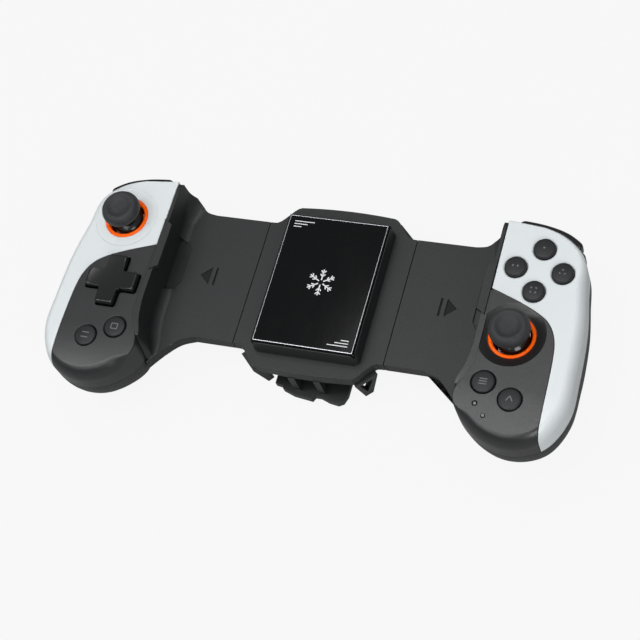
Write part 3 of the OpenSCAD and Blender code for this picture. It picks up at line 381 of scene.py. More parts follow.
class Graph:
    """Node tree of one material or of the world."""

    def __init__(self, owner: Any) -> None:
        """Turn nodes on for a material or world and hold its tree.

        Args:
            owner: The material or world.
        """
        owner.use_nodes = True
        self.tree = owner.node_tree

    def add(self, kind: str, settings: dict[str, Any], sockets: dict[Any, Any], out: Any = 0) -> Wire:
        """Add one node of any type.

        Args:
            kind: The node's type.
            settings: Its settings, set before its sockets.
            sockets: Values or wires for its sockets, by name, identifier or number.
            out: Name, identifier or number of the output that is wanted.

        Returns:
            The wanted output.
        """
        node = self.tree.nodes.new(kind)
        for key, value in settings.items():
            setattr(node, key, value)
        for key, value in sockets.items():
            self.feed(self.pick(node.inputs, key), value)
        return Wire(self, self.pick(node.outputs, out))

    @staticmethod
    def pick(sockets: Any, key: Any) -> bpy.types.NodeSocket:
        """Find a socket by number, identifier or name.

        Args:
            sockets: A node's inputs or outputs.
            key: Number, identifier or name.

        Returns:
            The socket.
        """
        if isinstance(key, int):
            return sockets[key]
        by_identifier = [s for s in sockets if s.identifier == key]
        return by_identifier[0] if by_identifier else sockets[key]

    def feed(self, socket: bpy.types.NodeSocket, value: Any) -> None:
        """Link a wire to a socket, or set the socket's value.

        Args:
            socket: The socket.
            value: A wire, or a value that fits the socket. A colour may leave out its alpha.
        """
        if isinstance(value, Wire):
            self.tree.links.new(value.socket, socket)
        elif isinstance(value, tuple) and len(value) == 3 and len(socket.default_value) == 4:
            socket.default_value = (*value, 1.0)
        else:
            socket.default_value = value

    def blend(self, share: Wire, a: Any, b: Any) -> Wire:
        """Colour between a and b."""
        sockets = {"Factor_Float": share, "A_Color": a, "B_Color": b}
        return self.add("ShaderNodeMix", {"data_type": "RGBA"}, sockets, "Result_Color")

    def spots(self) -> Wire:
        """Places on the piece, in metres, that move with it."""
        return self.add("ShaderNodeTexCoord", {}, {}, "Object")

    def noise(self, size: float, detail: float = 2.0, stretch: Triple = (1, 1, 1)) -> Wire:
        """Soft noise from 0 to 1.

        Args:
            size: Rough size of its blots in millimetres.
            detail: How many finer layers it has.
            stretch: Scale along each axis; small numbers draw the blots out.

        Returns:
            The noise value.
        """
        spots = self.spots()
        if stretch != (1, 1, 1):
            spots = self.add("ShaderNodeVectorMath", {"operation": "MULTIPLY"}, {0: spots, 1: stretch})
        sockets = {"Vector": spots, "Scale": 1 / (size * MM), "Detail": detail}
        return self.add("ShaderNodeTexNoise", {}, sockets, "Fac")

    def cells(self, size: float) -> Wire:
        """Distance from scattered cell centres, for pebbled grain of a size in millimetres."""
        sockets = {"Vector": self.spots(), "Scale": 1 / (size * MM), "Randomness": 1.0}
        return self.add("ShaderNodeTexVoronoi", {"feature": "SMOOTH_F1"}, sockets, "Distance")

    def softened(self, radius: float) -> Wire:
        """Surface direction with edges rounded by a radius in millimetres."""
        return self.add("ShaderNodeBevel", {"samples": 6}, {"Radius": radius * MM})

    def edges(self, radius: float) -> Wire:
        """Mask that rises towards sharp edges within a radius in millimetres.

        Args:
            radius: How far from an edge the mask reaches.

        Returns:
            The mask, from 0 to 1.
        """
        flat = self.add("ShaderNodeNewGeometry", {}, {}, "Normal")
        sockets = {0: self.softened(radius), 1: flat}
        level = self.add("ShaderNodeVectorMath", {"operation": "DOT_PRODUCT"}, sockets, "Value")
        return (1 - level).above(0.02, 0.25)

    def relief(self, height: Wire, depth: float, soft: float) -> Wire:
        """Surface direction with a relief on softened edges.

        Args:
            height: Relief from 0 to 1.
            depth: Height of the relief in millimetres.
            soft: Radius of the softened edges in millimetres.

        Returns:
            The direction for a shader's Normal.
        """
        sockets = {"Height": height, "Distance": depth * MM, "Strength": 1.0, "Normal": self.softened(soft)}
        return self.add("ShaderNodeBump", {}, sockets)

    def shader(self, sockets: dict[str, Any]) -> None:
        """Set the sockets of the material's own shader.

        Args:
            sockets: Values or wires by the name of their socket.
        """
        node = self.tree.nodes["Principled BSDF"]
        for key, value in sockets.items():
            self.feed(self.pick(node.inputs, key), value)


def linear(red: int, green: int, blue: int) -> Colour:
    """Linear colour of a screen colour given from 0 to 255."""
    parts = [v / 255 for v in (red, green, blue)]
    return tuple(v / 12.92 if v <= 0.04045 else ((v + 0.055) / 1.055) ** 2.4 for v in parts)


def scaled(colour: Colour, share: float) -> Colour:
    """Colour made darker or lighter by a share."""
    return tuple(min(1.0, v * share) for v in colour)


@dataclass(frozen=True)
class Finish:
    """Finish of a piece: a named material and its main colour."""

    name: str
    colour: Colour

    def material(self) -> bpy.types.Material:
        """Build the material.

        Returns:
            The new material.
        """
        made = bpy.data.materials.new(self.name)
        self.paint(Graph(made))
        return made

    def paint(self, g: Graph) -> None:
        """Set up the material's shader, in each finish's own way."""
        raise NotImplementedError


@dataclass(frozen=True)
class Plastic(Finish):
    """Moulded plastic: fine grain, faint flow clouds, edges polished by use and lightened partly as wear and
    partly as painted highlight, and a painted glow where one is set.
    """

    roughness: float = 0.5
    specular: float = 0.5
    grain: float = 0.35
    grain_depth: float = 0.012
    fleck: float = 0.3
    spread: float = 0.07
    # Share of the edge lightening, partly wear and partly painted highlight.
    worn: float = 0.35
    soft: float = 0.25
    # Painted glow: emission on a part that is no lamp.
    glow: float = 0.0

    def paint(self, g: Graph) -> None:
        """Set up the shader.

        Args:
            g: The material's graph.
        """
        clouds = g.noise(9.0, 3.0)
        fine = g.noise(self.grain, 1.0).above(0.25, 0.5)
        edges = g.edges(self.soft * 1.6)
        colour = g.blend(clouds, scaled(self.colour, 1 - self.spread), scaled(self.colour, 1 + self.spread))
        colour = g.blend(fine * self.fleck, colour, scaled(self.colour, 0.55))
        # Edges lightened: partly wear, partly a painted highlight.
        colour = g.blend(edges * self.worn, colour, scaled(self.colour, 1.7))
        rough = self.roughness + (clouds - 0.5) * 0.1 + (fine - 0.5) * 0.08 - edges * self.worn * 0.2
        g.shader(
            {
                "Base Color": colour,
                "Roughness": rough,
                "Specular IOR Level": self.specular,
                "Normal": g.relief(fine, self.grain_depth, self.soft),
                # Painted glow in the part's own colour.
                "Emission Color": self.colour,
                "Emission Strength": self.glow,
            }
        )


@dataclass(frozen=True)
class Rubber(Finish):
    """Matt rubber with a pebbled skin, painted shade in the grooves between the pebbles, and a faint bloom.
    """

    pebble: float = 0.5
    depth: float = 0.05

    def paint(self, g: Graph) -> None:
        """Set up the shader.

        Args:
            g: The material's graph.
        """
        pebbles = g.cells(self.pebble)
        bloom = g.noise(3.0, 3.0)
        colour = g.blend(bloom, scaled(self.colour, 0.8), scaled(self.colour, 1.3))
        # Painted shade: darker in the low grooves between the pebbles.
        colour = g.blend(pebbles.above(0.35, 0.4) * 0.5, colour, scaled(self.colour, 0.6))
        g.shader(
            {
                "Base Color": colour,
                "Roughness": 0.62 + (bloom - 0.5) * 0.15,
                "Specular IOR Level": 0.4,
                "Normal": g.relief(1 - pebbles, self.depth, 0.3),
                "Sheen Weight": 0.05,
            }
        )


@dataclass(frozen=True)
class Metal(Finish):
    """Metal with drawn brush lines, clouded tarnish and edges lightened, partly as wear and partly as painted
    highlight.
    """

    roughness: float = 0.3
    brush: Triple = (1.0, 0.04, 1.0)
    line: float = 0.25
    depth: float = 0.004
    tarnish: float = 0.15
    dark_sides: bool = False

    def paint(self, g: Graph) -> None:
        """Set up the shader.

        Args:
            g: The material's graph.
        """
        lines = g.noise(self.line, 2.0, self.brush)
        clouds = g.noise(6.0, 3.0)
        edges = g.edges(0.3)
        colour = g.blend(clouds * self.tarnish * 2, self.colour, scaled(self.colour, 0.7))
        # Edges lightened: partly wear, partly a painted highlight.
        colour = g.blend(edges * 0.5, colour, scaled(self.colour, 1.15))
        if self.dark_sides:
            level = g.add("ShaderNodeNewGeometry", {}, {}, "Normal")
            up = g.add("ShaderNodeSeparateXYZ", {}, {0: level}, "Z")
            colour = g.blend(up.above(0.75, 0.15), scaled(self.colour, 0.03), colour)
        rough = self.roughness + (lines - 0.5) * 0.2 + (clouds - 0.5) * self.tarnish - edges * 0.08
        g.shader(
            {
                "Base Color": colour,
                "Metallic": 1.0,
                "Roughness": rough,
                "Normal": g.relief(lines, self.depth, 0.12),
            }
        )


@dataclass(frozen=True)
class Gloss(Finish):
    """Polished plastic with faint wiping marks, a little dust and edges drawn towards dark grey, partly as
    wear and partly as painted highlight.
    """

    roughness: float = 0.1
    specular: float = 0.35
    smear: float = 0.08
    soft: float = 0.3

    def paint(self, g: Graph) -> None:
        """Set up the shader.

        Args:
            g: The material's graph.
        """
        wiped = g.noise(5.0, 4.0, (1.0, 0.35, 1.0))
        dust = g.noise(0.4, 1.0)
        edges = g.edges(self.soft)
        colour = g.blend(dust.above(0.68, 0.08) * 0.15, self.colour, (0.12, 0.12, 0.12))
        # Edges drawn towards dark grey, lighter on black: partly wear, partly a painted highlight.
        colour = g.blend(edges * 0.3, colour, (0.06, 0.06, 0.062))
        g.shader(
            {
                "Base Color": colour,
                "Roughness": self.roughness + wiped * self.smear + edges * 0.03,
                "Specular IOR Level": self.specular,
                "Normal": g.relief(wiped, 0.01, self.soft),
            }
        )


@dataclass(frozen=True)
class Laminate(Finish):
    """Circuit board: green mask over glass weave, with paler copper runs under it."""

    weave: float = 0.8

    def paint(self, g: Graph) -> None:
        """Set up the shader.

        Args:
            g: The material's graph.
        """
        along = g.noise(self.weave, 0.0, (1.0, 0.1, 1.0))
        across = g.noise(self.weave, 0.0, (0.1, 1.0, 1.0))
        weave = along * across
        runs = g.noise(4.0, 1.0, (1.0, 0.25, 1.0)).above(0.52, 0.03)
        colour = g.blend(runs, self.colour, scaled(self.colour, 1.8))
        colour = g.blend(weave, colour, scaled(self.colour, 0.6))
        g.shader(
            {
                "Base Color": colour,
                "Roughness": 0.38 + weave * 0.2,
                "Normal": g.relief(weave + runs * 0.5, 0.02, 0.1),
            }
        )


@dataclass(frozen=True)
class Print(Finish):
    """Pad-printed ink with a faint mottle."""

    def paint(self, g: Graph) -> None:
        """Set up the shader.

        Args:
            g: The material's graph.
        """
        mottle = g.noise(0.6, 2.0)
        g.shader(
            {
                "Base Color": g.blend(mottle, scaled(self.colour, 0.86), self.colour),
                "Roughness": 0.42 + (mottle - 0.5) * 0.15,
                "Normal": g.relief(mottle, 0.003, 0.05),
            }
        )


CHARCOAL = Plastic("charcoal_plastic", linear(33, 35, 35), roughness=0.46, grain=0.6, fleck=0.7)
FACE = Plastic(
    "charcoal_face", linear(32, 34, 34),
    roughness=0.36, specular=0.65, grain=0.6, grain_depth=0.01, fleck=0.7, worn=0.3,
)  # fmt: skip
WHITE = Plastic(
    "white_plastic", linear(220, 226, 227),
    roughness=0.34, grain=0.5, grain_depth=0.004, fleck=0.02, spread=0.015, worn=0.0,
)  # fmt: skip
# The orange ring gets a painted glow, though it is no lamp.
ORANGE = Plastic(
    "orange_ring", linear(255, 96, 0),
    roughness=0.3, specular=0.2, grain_depth=0.003, fleck=0.03, spread=0.03, worn=0.0, glow=0.16,
)  # fmt: skip
# Painted shade: dark sheets laid in the engravings' floors, darker than the wing.
ENGRAVING_SHADE = Plastic(
    "engraved_floor", linear(22, 23, 23), roughness=0.6, specular=0.25, grain_depth=0.01, worn=0.0
)  # fmt: skip
KEY = Plastic(
    "button_plastic", linear(33, 35, 36),
    roughness=0.42, specular=0.35, grain=0.3, grain_depth=0.008, worn=0.15,
)  # fmt: skip
RUBBER = Rubber("stick_rubber", linear(45, 47, 48))
PANEL = Gloss("panel_gloss", linear(9, 10, 11), roughness=0.06, specular=0.17)
BLACK = Gloss("black_gloss", linear(15, 16, 16), roughness=0.15, specular=0.6, smear=0.05)
LENS = Gloss("smoked_lens", linear(98, 100, 101), roughness=0.08, specular=0.5)
SATIN = Gloss("satin_black", linear(30, 31, 32), roughness=0.3, specular=0.4)
ALUMINIUM = Metal("bright_aluminium", linear(214, 217, 220), roughness=0.24)
TRIM = Metal("cut_edge_trim", linear(214, 217, 220), roughness=0.24, dark_sides=True)
STEEL = Metal("steel", linear(176, 178, 180), roughness=0.32, tarnish=0.25)
BOARD = Laminate("board", linear(28, 92, 58))
CERAMIC = Plastic("white_ceramic", linear(236, 236, 232), grain_depth=0.004, spread=0.03, worn=0.0)
FOIL = Plastic("battery_wrap", linear(120, 126, 132), roughness=0.3, grain=2.5, grain_depth=0.03, spread=0.15)
WHITE_INK = Print("white_ink", linear(232, 234, 235))
GREY_INK = Print("grey_ink", linear(108, 110, 112))


class Workshop:
    """Makes pieces, dresses carried-over solids and keeps one material per finish."""

    def __init__(self, place: Place) -> None:
        """Start with no materials.

        Args:
            place: Shift from the drawing to the frame.
        """
        self.place = place
        self.made: dict[str, bpy.types.Material] = {}

    def finish(self, finish: Finish) -> bpy.types.Material:
        """Material of a finish, built the first time that it is asked for.

        Args:
            finish: The finish.

        Returns:
            Its material.
        """
        if finish.name not in self.made:
            self.made[finish.name] = finish.material()
        return self.made[finish.name]

    def blank(self, shape: Shape, name: str) -> bpy.types.Object:
        """Turn a shape into an object in the scene.

        Args:
            shape: The shape.
            name: Name of the object and its mesh.

        Returns:
            The object.
        """
        made = bpy.data.objects.new(name, shape.mesh(name, self.place))
        bpy.context.scene.collection.objects.link(made)
        return made

    def carve(self, piece: bpy.types.Object, shape: Shape, how: Cut) -> None:
        """Cut a piece with a shape and keep the result as its mesh.

        Args:
            piece: The piece to cut.
            shape: The cutting shape.
            how: What the shape does to the piece.
        """
        cutter = self.blank(shape, "cutter")
        step = piece.modifiers.new("cut", "BOOLEAN")
        step.solver = "MANIFOLD"
        step.operation = how.value
        step.object = cutter
        graph = bpy.context.evaluated_depsgraph_get()
        mesh = bpy.data.meshes.new_from_object(piece.evaluated_get(graph))
        piece.modifiers.clear()
        old = piece.data
        piece.data = mesh
        mesh.name = piece.name
        bpy.data.meshes.remove(old)
        spent = cutter.data
        bpy.data.objects.remove(cutter)
        bpy.data.meshes.remove(spent)
        if not mesh.polygons:
            raise RuntimeError(f"{piece.name}: nothing is left after a cut")

    def finished(
        self,
        piece: bpy.types.Object,
        body: str,
        finish: Finish,
        replaces: Sequence[str] = (),
        angle: float = 32,
    ) -> None:
        """Shade a piece, dress it and let it ride on its body.

        Args:
            piece: The piece.
            body: The body that it moves with.
            finish: Its finish.
            replaces: CAD nodes that it stands for.
            angle: Edges sharper than this many degrees stay crisp.
        """
        piece.data.materials.clear()
        piece.data.materials.append(self.finish(finish))
        piece.data.shade_smooth()
        piece.data.set_sharp_from_angle(angle=math.radians(angle))
        even = piece.modifiers.new("even_shading", "WEIGHTED_NORMAL")
        even.keep_sharp = True
        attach(piece, body)
        if replaces:
            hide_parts(*replaces)
        LOG.info("%s rides on %s in %s, %d faces", piece.name, body, finish.name, len(piece.data.polygons))

    def dress(self, node: str, finish: Finish, bevel: float = 0.0, angle: float = 40) -> None:
        """Give a carried-over solid a finish and, where it shows, rounded edges.

        Args:
            node: The CAD node.
            finish: Its finish.
            bevel: Width of the rounding in millimetres, or 0 for none.
            angle: Edges sharper than this many degrees are rounded.
        """
        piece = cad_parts[node]
        material = self.finish(finish)
        for entry in piece.material_slots:
            entry.material = material
        if not piece.material_slots:
            piece.data.materials.append(material)
        if bevel:
            weld = piece.modifiers.new("weld", "WELD")
            weld.merge_threshold = 2e-6
            step = piece.modifiers.new("rounding", "BEVEL")
            step.width = bevel * MM
            step.segments = 3
            step.limit_method = "ANGLE"
            step.angle_limit = math.radians(angle)
            step.use_clamp_overlap = True
            step.harden_normals = False
        LOG.info("%s dressed in %s", node, finish.name)


@dataclass(frozen=True)
class GripForm:
    """Outer form of a grip: its plan, its rounded edges and its hollow."""

    inner_x: float = 74.95
    width: float = 40.2
    top: float = 35.8
    end: float = 61.0
    foot: float = -30.0
    rise: float = 16.0
    drop: float = 21.0
    wall: float = 2.0
    split: float = 1.0
    gap: float = 0.25
    taper_middle: Point = (94.95, -24.0)
    taper_share: float = 0.5
    crown_from: float = -38.0
    crown: float = 0.005
    spare: float = 0.8
    plain_edge: Point = (0.5, 0.6)
    shown_edge: Point = (4.0, 6.0)
    low_edge: Point = (4.3, 6.5)
    steps: int = 12
    turns: int = 14
    edge_steps: int = 49

    def plan(self, straight_head: bool) -> np.ndarray:
        """Outline of the grip seen from above, counterclockwise from the foot of its inner wall.

        Args:
            straight_head: Whether the last run to the wall's head is one straight line.

        Returns:
            The outline's points.
        """
        x, far, end = self.inner_x, self.inner_x + self.width, self.end
        knots = [
            (x, self.foot), (x - 5, -44.8), (x + 4.2, 4.5 - end), (x + 19.1, -end), (far - 7.4, 5.2 - end),
            (far - 0.2, -42), (far + 0.3, -25), (far - 0.7, -5), (far - 3.3, 10.5), (far - 6, 23),
            (far - 14.1, self.top - 5), (x + 15.1, self.top - 1.4), (x, self.top),
        ]  # fmt: skip
        line = spline(knots, self.steps)
        return np.vstack([line[: -self.steps], line[-1:]]) if straight_head else line

    def rounding(self, p: np.ndarray) -> tuple[float, float, float, float]:
        """How far the edges are rounded at a point of the plan.

        Args:
            p: The point.

        Returns:
            Reach and depth of the upper rounding, then reach and depth of the lower one.
        """
        low = smooth((-32 - p[1]) / 22) * smooth((p[0] - self.inner_x + 5) / 6)
        outer = smooth((p[0] - self.inner_x - 12) / 20)
        upper = smooth((p[1] - 8) / 22)
        shown = outer * (1 - 0.6 * upper)
        tapered_depth = mix(26, 21.5, smooth((p[0] - self.inner_x) / 14))
        edges = zip(self.plain_edge, self.shown_edge, self.low_edge)
        reach, depth = (mix(mix(plain, full, shown), end, low) for plain, full, end in edges)
        return (
            reach,
            depth,
            mix(6, 10, outer) + 3 * upper,
            mix(mix(9, 17, outer), tapered_depth, self.taper(p)) + 2 * upper,
        )

    def taper(self, p: np.ndarray) -> float:
        """Share of the underside's taper at a point of the plan, full at the lower end."""
        return smooth((-16 - p[1]) / 26)

    def fall(self, y: Any) -> Any:
        """How far the top face has fallen away towards the lower end, at one y or many."""
        return self.crown * np.maximum(0.0, self.crown_from - y) ** 2

    def rings(self, shrink: float) -> list[np.ndarray]:
        """Rings of the form from its top face to its underside.

        Args:
            shrink: How much smaller the form is on every side, for its hollow.

        Returns:
            The rings.
        """
        line = self.plan(straight_head=True)
        normals = inward(line)
        full = np.array([self.rounding(p) for p in line])
        taper = np.array([[self.taper(p)] for p in line])
        pull = mix(normals * full[:, 2:3], (np.array(self.taper_middle) - line) * self.taper_share, taper)
        reach = np.linalg.norm(pull, axis=1)[:, None]
        pull *= np.maximum(0.3, reach - shrink) / reach
        sizes = np.maximum(0.3, full - shrink)
        turns = np.linspace(math.pi / 2, 0, self.turns)
        rings = []
        for a in turns:
            plan = line + normals * (shrink + sizes[:, 0] * (1 - math.cos(a)))[:, None]
            top = self.rise - shrink - (0 if shrink else self.fall(plan[:, 1]))
            rings.append(np.column_stack([plan, top - sizes[:, 1] * (1 - math.sin(a))]))
        for a in turns[::-1]:
            plan = line + normals * shrink + pull * (1 - math.cos(a))
            rings.append(np.column_stack([plan, -self.drop + shrink + sizes[:, 3] * (1 - math.sin(a))]))
        return rings

    def shell(self) -> Shape:
        """Hollow form of the whole grip, with spare height for the crown to be cut from.

        Returns:
            The form with its hollow.
        """
        rings = self.rings(0)
        top = level_ring(rings[0][:, :2], self.rise + self.spare)
        return Shape().loft([top] + rings).loft(self.rings(self.wall), inside_out=True)

    def above(self) -> Shape:
        """Room above the crowned top face.

        Returns:
            The room, for cutting the crown.
        """
        y = np.concatenate([[self.top + 20], np.linspace(self.crown_from, -self.end - 8, 20)])
        side = [(v, self.rise - 0.01 - self.fall(v)) for v in y]
        side += [(y[-1], self.rise + 3), (y[0], self.rise + 3)]
        ends = (self.inner_x - 25, self.inner_x + self.width + 25)
        return Shape().loft([np.array([(x, *p) for p in side]) for x in ends])

    def edge(self, offset: float, from_x: float, to_x: float) -> np.ndarray:
        """Points along the grip's upper edge.

        Args:
            offset: Distance outside the outline.
            from_x: Where the run starts.
            to_x: Where it ends.

        Returns:
            The points, from the outer end to the inner one.
        """
        line = self.plan(straight_head=False)
        upper = line[line[:, 1] > 8][::-1]
        x = np.linspace(to_x, from_x, self.edge_steps)
        y, ahead, behind = (np.interp(x + step, upper[:, 0], upper[:, 1]) for step in (0.0, 0.3, -0.3))
        side = np.column_stack([behind - ahead, np.full(len(x), 0.6)])
        return np.column_stack([x, y]) + side * offset / np.linalg.norm(side, axis=1)[:, None]

    def strip(self, inner: float, outer: float, from_x: float, to_x: float) -> np.ndarray:
        """Outline of a strip along the upper edge, between two offsets from the plan."""
        return np.vstack([self.edge(outer, from_x, to_x), self.edge(inner, from_x, to_x)[::-1]])

    def cover_line(self, shift: float) -> np.ndarray:
        """Line that parts the pale cover from the dark face, moved towards the face by a shift.

        Args:
            shift: The shift in millimetres.

        Returns:
            The line's points, from the inner wall to the lower end.
        """
        x, far = self.inner_x, self.inner_x + self.width
        knots = [
            (x - 2, 4.7), (x + 11.1, 0), (x + 20.1, -4), (far - 14.1, -8.2), (far - 10.5, -14.5),
            (far - 9.1, -23), (far - 8.6, -40), (far - 8.6, -self.end - 5),
        ]  # fmt: skip
        line = spline(knots, 10)
        ahead = np.gradient(line, axis=0)
        ahead /= np.linalg.norm(ahead, axis=1)[:, None]
        return line + np.column_stack([ahead[:, 1], -ahead[:, 0]]) * shift


@dataclass(frozen=True)
class Controls:
    """Places of the controls on the right grip's drawing."""

    left_stick: Point = (93.45, 15.0)
    right_stick: Point = (87.45, -15.4)
    pad: Point = (89.25, -16.3)
    inner_button: Point = (81.05, -37.4)
    outer_button: Point = (93.05, -43.2)
    lights: tuple[Point, Point] = ((79.65, -46.7), (83.95, -51.2))
    face_middle: Point = (92.35, 14.3)
    face_pitch: float = 9.76
    face_turn: float = -1.0
    face_radius: float = 4.5
    face_proud: float = 1.7
    face_chamfer: float = 0.5
    function_radius: float = 4.7
    function_proud: float = 0.8
    function_chamfer: float = 0.45
    hole_gap: float = 0.25
    ring_radius: float = 9.7
    ring_gap: float = 0.15
    sunk: float = 1.8
    dish_radius: float = 14.1

    def face(self, turn: float) -> Point:
        """Place of the face button at a turn in degrees.

        Args:
            turn: The turn, counterclockwise from the outer button.

        Returns:
            The button's place.
        """
        a = math.radians(turn + self.face_turn)
        x, y = self.face_middle
        return (x + self.face_pitch * math.cos(a), y + self.face_pitch * math.sin(a))


@dataclass
class GripShells:
    """Pale cover, dark face and rear case of one grip."""

    side: Side
    form: GripForm = field(default_factory=GripForm)
    controls: Controls = field(default_factory=Controls)
    screws: tuple[Point, ...] = ((81.75, 5.8), (103.75, 0.5), (101.45, -24.8), (99.45, -36.2))
    plate_low: float = -5.5
    plate_high: float = -2.8
    hollow_low: float = -4.0
    over: float = 18.0
    under: float = 11.0
    deep: float = 10.0
    clear: float = 20.0
    crisp: float = 16.0
    window_reach: Point = (-5.0, 4.7)
    window_ends: Point = (3.2, 8.7)
    window_height: Point = (7.1, 14.0)
    recess_reach: Point = (-4.7, 8.5)
    recess_ends: Point = (6.5, 9.5)
    recess_low: float = -13.5
    pad_gap: float = 0.55
    pad_low: float = 12.9
    dish_low: float = 12.2
    room_low: Triple = (0.0, -90.0, -30.0)
    room_high: Point = (160.0, 90.0)
    post_radius: float = 2.7
    post_height: Point = (-19.3, 0.4)
    pin_y: Point = (18.9, 24.1)
    pin_top: float = -0.4
    pin_blocks: tuple[Triple, Triple] = ((1.0, 6.7, -5.6), (19.0, 21.4, -18.4))
    pocket: tuple[Point, ...] = ((0, -12), (2.3, -12), (2.3, -20.7), (2.8, -21.02), (2.8, -23), (0, -23))

    def build(self, shop: Workshop) -> None:
        """Build and dress the three shells.

        Args:
            shop: The workshop.
        """
        self.cover(shop)
        self.face(shop)
        self.rear_case(shop)

    def part(self, shop: Workshop, name: str, region: Shape) -> bpy.types.Object:
        """Cut one shell out of the grip's hollow form.

        Args:
            shop: The workshop.
            name: Name of the piece.
            region: The room that the shell is kept in.

        Returns:
            The piece, without holes.
        """
        piece = shop.blank(self.form.shell().mirrored(self.side), name)
        shop.carve(piece, region.mirrored(self.side), Cut.KEEP)
        shop.carve(piece, self.form.above().mirrored(self.side), Cut.REMOVE)
        return piece

    def button_hole(self, radius: float, chamfer: float) -> list[Point]:
        """Profile of a button's hole with a chamfered rim, from above the shell down into its hollow.

        Args:
            radius: Radius of the button.
            chamfer: Width of the hole's chamfer.

        Returns:
            The profile's points, each a radius and a height.
        """
        rise, hole = self.form.rise, radius + self.controls.hole_gap
        wide = hole + chamfer
        rim = [(wide, self.over), (wide, rise + 0.02), (hole, rise - 0.4)]
        return [(0, self.over)] + rim + [(hole, self.under), (0, self.under)]

    def edge_room(self, reach: Point, ends: Point, height: Point) -> Shape:
        """Room along the grip's upper edge.

        Args:
            reach: Inner and outer offset from the grip's outline.
            ends: Distance of its ends from the grip's inner and outer side.
            height: Lower and upper face.

        Returns:
            The room, on this grip's side.
        """
        x = self.form.inner_x
        line = self.form.strip(*reach, x + ends[0], x + self.form.width - ends[1])
        return Shape().prism(line, *height).mirrored(self.side)

    def cover(self, shop: Workshop) -> None:
        """Build the pale cover.

        Args:
            shop: The workshop.
        """
        form, at, word = self.form, self.controls, self.side.word
        far, back = form.inner_x + form.width + self.clear, form.top + self.clear
        line = form.cover_line(0)
        outline = np.vstack([line, [(far, line[-1][1]), (far, back), (line[0][0], back)]])
        piece = self.part(shop, f"{word}_pale_cover", Shape().prism(outline, form.split, form.rise + 1))
        holes = Shape()
        if self.side is Side.LEFT:
            rim, ring = at.dish_radius + 0.3, at.ring_radius + at.ring_gap
            lip = [(0, self.over), (rim, self.over), (rim, 16.01), (rim - 0.35, 15.8), (ring, 15.72)]
            holes.lathe(lip + [(ring, self.under), (0, self.under)], at.left_stick, steps=120)
        else:
            for turn in (0, 90, 180, 270):
                holes.lathe(self.button_hole(at.face_radius, at.face_chamfer), at.face(turn))
        shop.carve(piece, holes.mirrored(self.side), Cut.REMOVE)
        window = self.edge_room(self.window_reach, self.window_ends, self.window_height)
        shop.carve(piece, window, Cut.REMOVE)
        shop.finished(piece, f"{word}_grip", WHITE, [f"{word}_cover"], self.crisp)

    def face(self, shop: Workshop) -> None:
        """Build the dark face.

        Args:
            shop: The workshop.
        """
        form, at, word = self.form, self.controls, self.side.word
        near = form.inner_x - self.clear
        line = form.cover_line(form.gap)
        outline = np.vstack([line, [(near, line[-1][1]), (near, line[0][1])]])
        piece = self.part(shop, f"{word}_dark_face", Shape().prism(outline, form.split, form.rise + 1))
        holes = Shape()
        for place in (at.inner_button, at.outer_button):
            holes.lathe(self.button_hole(at.function_radius, at.function_chamfer), place)
        if self.side is Side.LEFT:
            holes.prism(DirectionPad(self.side).outline(self.pad_gap), self.pad_low, self.over)
        else:
            self.sink_stick(shop, piece, holes)
        shop.carve(piece, holes.mirrored(self.side), Cut.REMOVE)
        shop.finished(piece, f"{word}_grip", FACE, [f"{word}_face"], self.crisp)

    def sink_stick(self, shop: Workshop, piece: bpy.types.Object, holes: Shape) -> None:
        """Thicken the right face under its sunk stick, and add the stick's dish and the light holes.

        Args:
            shop: The workshop.
            piece: The dark face.
            holes: The holes that are cut from the face next.
        """
        at, low = self.controls, self.deep
        top, wide, ring = self.form.rise - at.sunk, at.dish_radius, at.ring_radius + at.ring_gap
        floor = [(0, top), (wide + 1, top), (wide + 1, self.dish_low), (0, self.dish_low)]
        shop.carve(piece, Shape().lathe(floor, at.right_stick), Cut.JOIN)
        dish = [(0, self.over), (wide, self.over), (wide, 16.0), (ring + 0.25, top), (ring, top)]
        holes.lathe(dish + [(ring, low), (0, low)], at.right_stick)
        for place in at.lights:
            hole = [(0, self.over), (1.25, self.over), (1.25, 15.8), (0.95, 15.2), (0.95, low), (0, low)]
            holes.lathe(hole, place, steps=32)

    def rear_case(self, shop: Workshop) -> None:
        """Build the rear case with the wing's under plate.

        Args:
            shop: The workshop.
        """
        form, wing, word = self.form, Wing(self.side), self.side.word
        room = Shape().box(self.room_low, (*self.room_high, form.split - form.gap))
        piece = self.part(shop, f"{word}_case", room)
        recess = self.edge_room(self.recess_reach, self.recess_ends, (self.recess_low, form.split))
        shop.carve(piece, recess, Cut.REMOVE)
        plate = Shape().prism(wing.outline(0.75 * form.wall + form.gap), self.plate_low, self.plate_high)
        shop.carve(piece, plate.mirrored(self.side), Cut.JOIN)
        hollow = Shape().prism(wing.hollow(), self.hollow_low, self.plate_high + 1)
        shop.carve(piece, hollow.mirrored(self.side), Cut.REMOVE)
        posts = Shape()
        for place in self.screws:
            posts.prism(circle(place, self.post_radius, 32), *self.post_height)
        x, (near, far) = form.inner_x, self.pin_y
        for start, end, low in self.pin_blocks:
            posts.box((x + start, near, low), (x + end, far, self.pin_top))
        shop.carve(piece, posts.mirrored(self.side), Cut.JOIN)
        pockets = Shape()
        for place in self.screws:
            pockets.lathe(self.pocket, place, steps=32)
        shop.carve(piece, pockets.mirrored(self.side), Cut.REMOVE)
        shop.finished(piece, f"{word}_grip", CHARCOAL, [f"{word}_rear_case"])


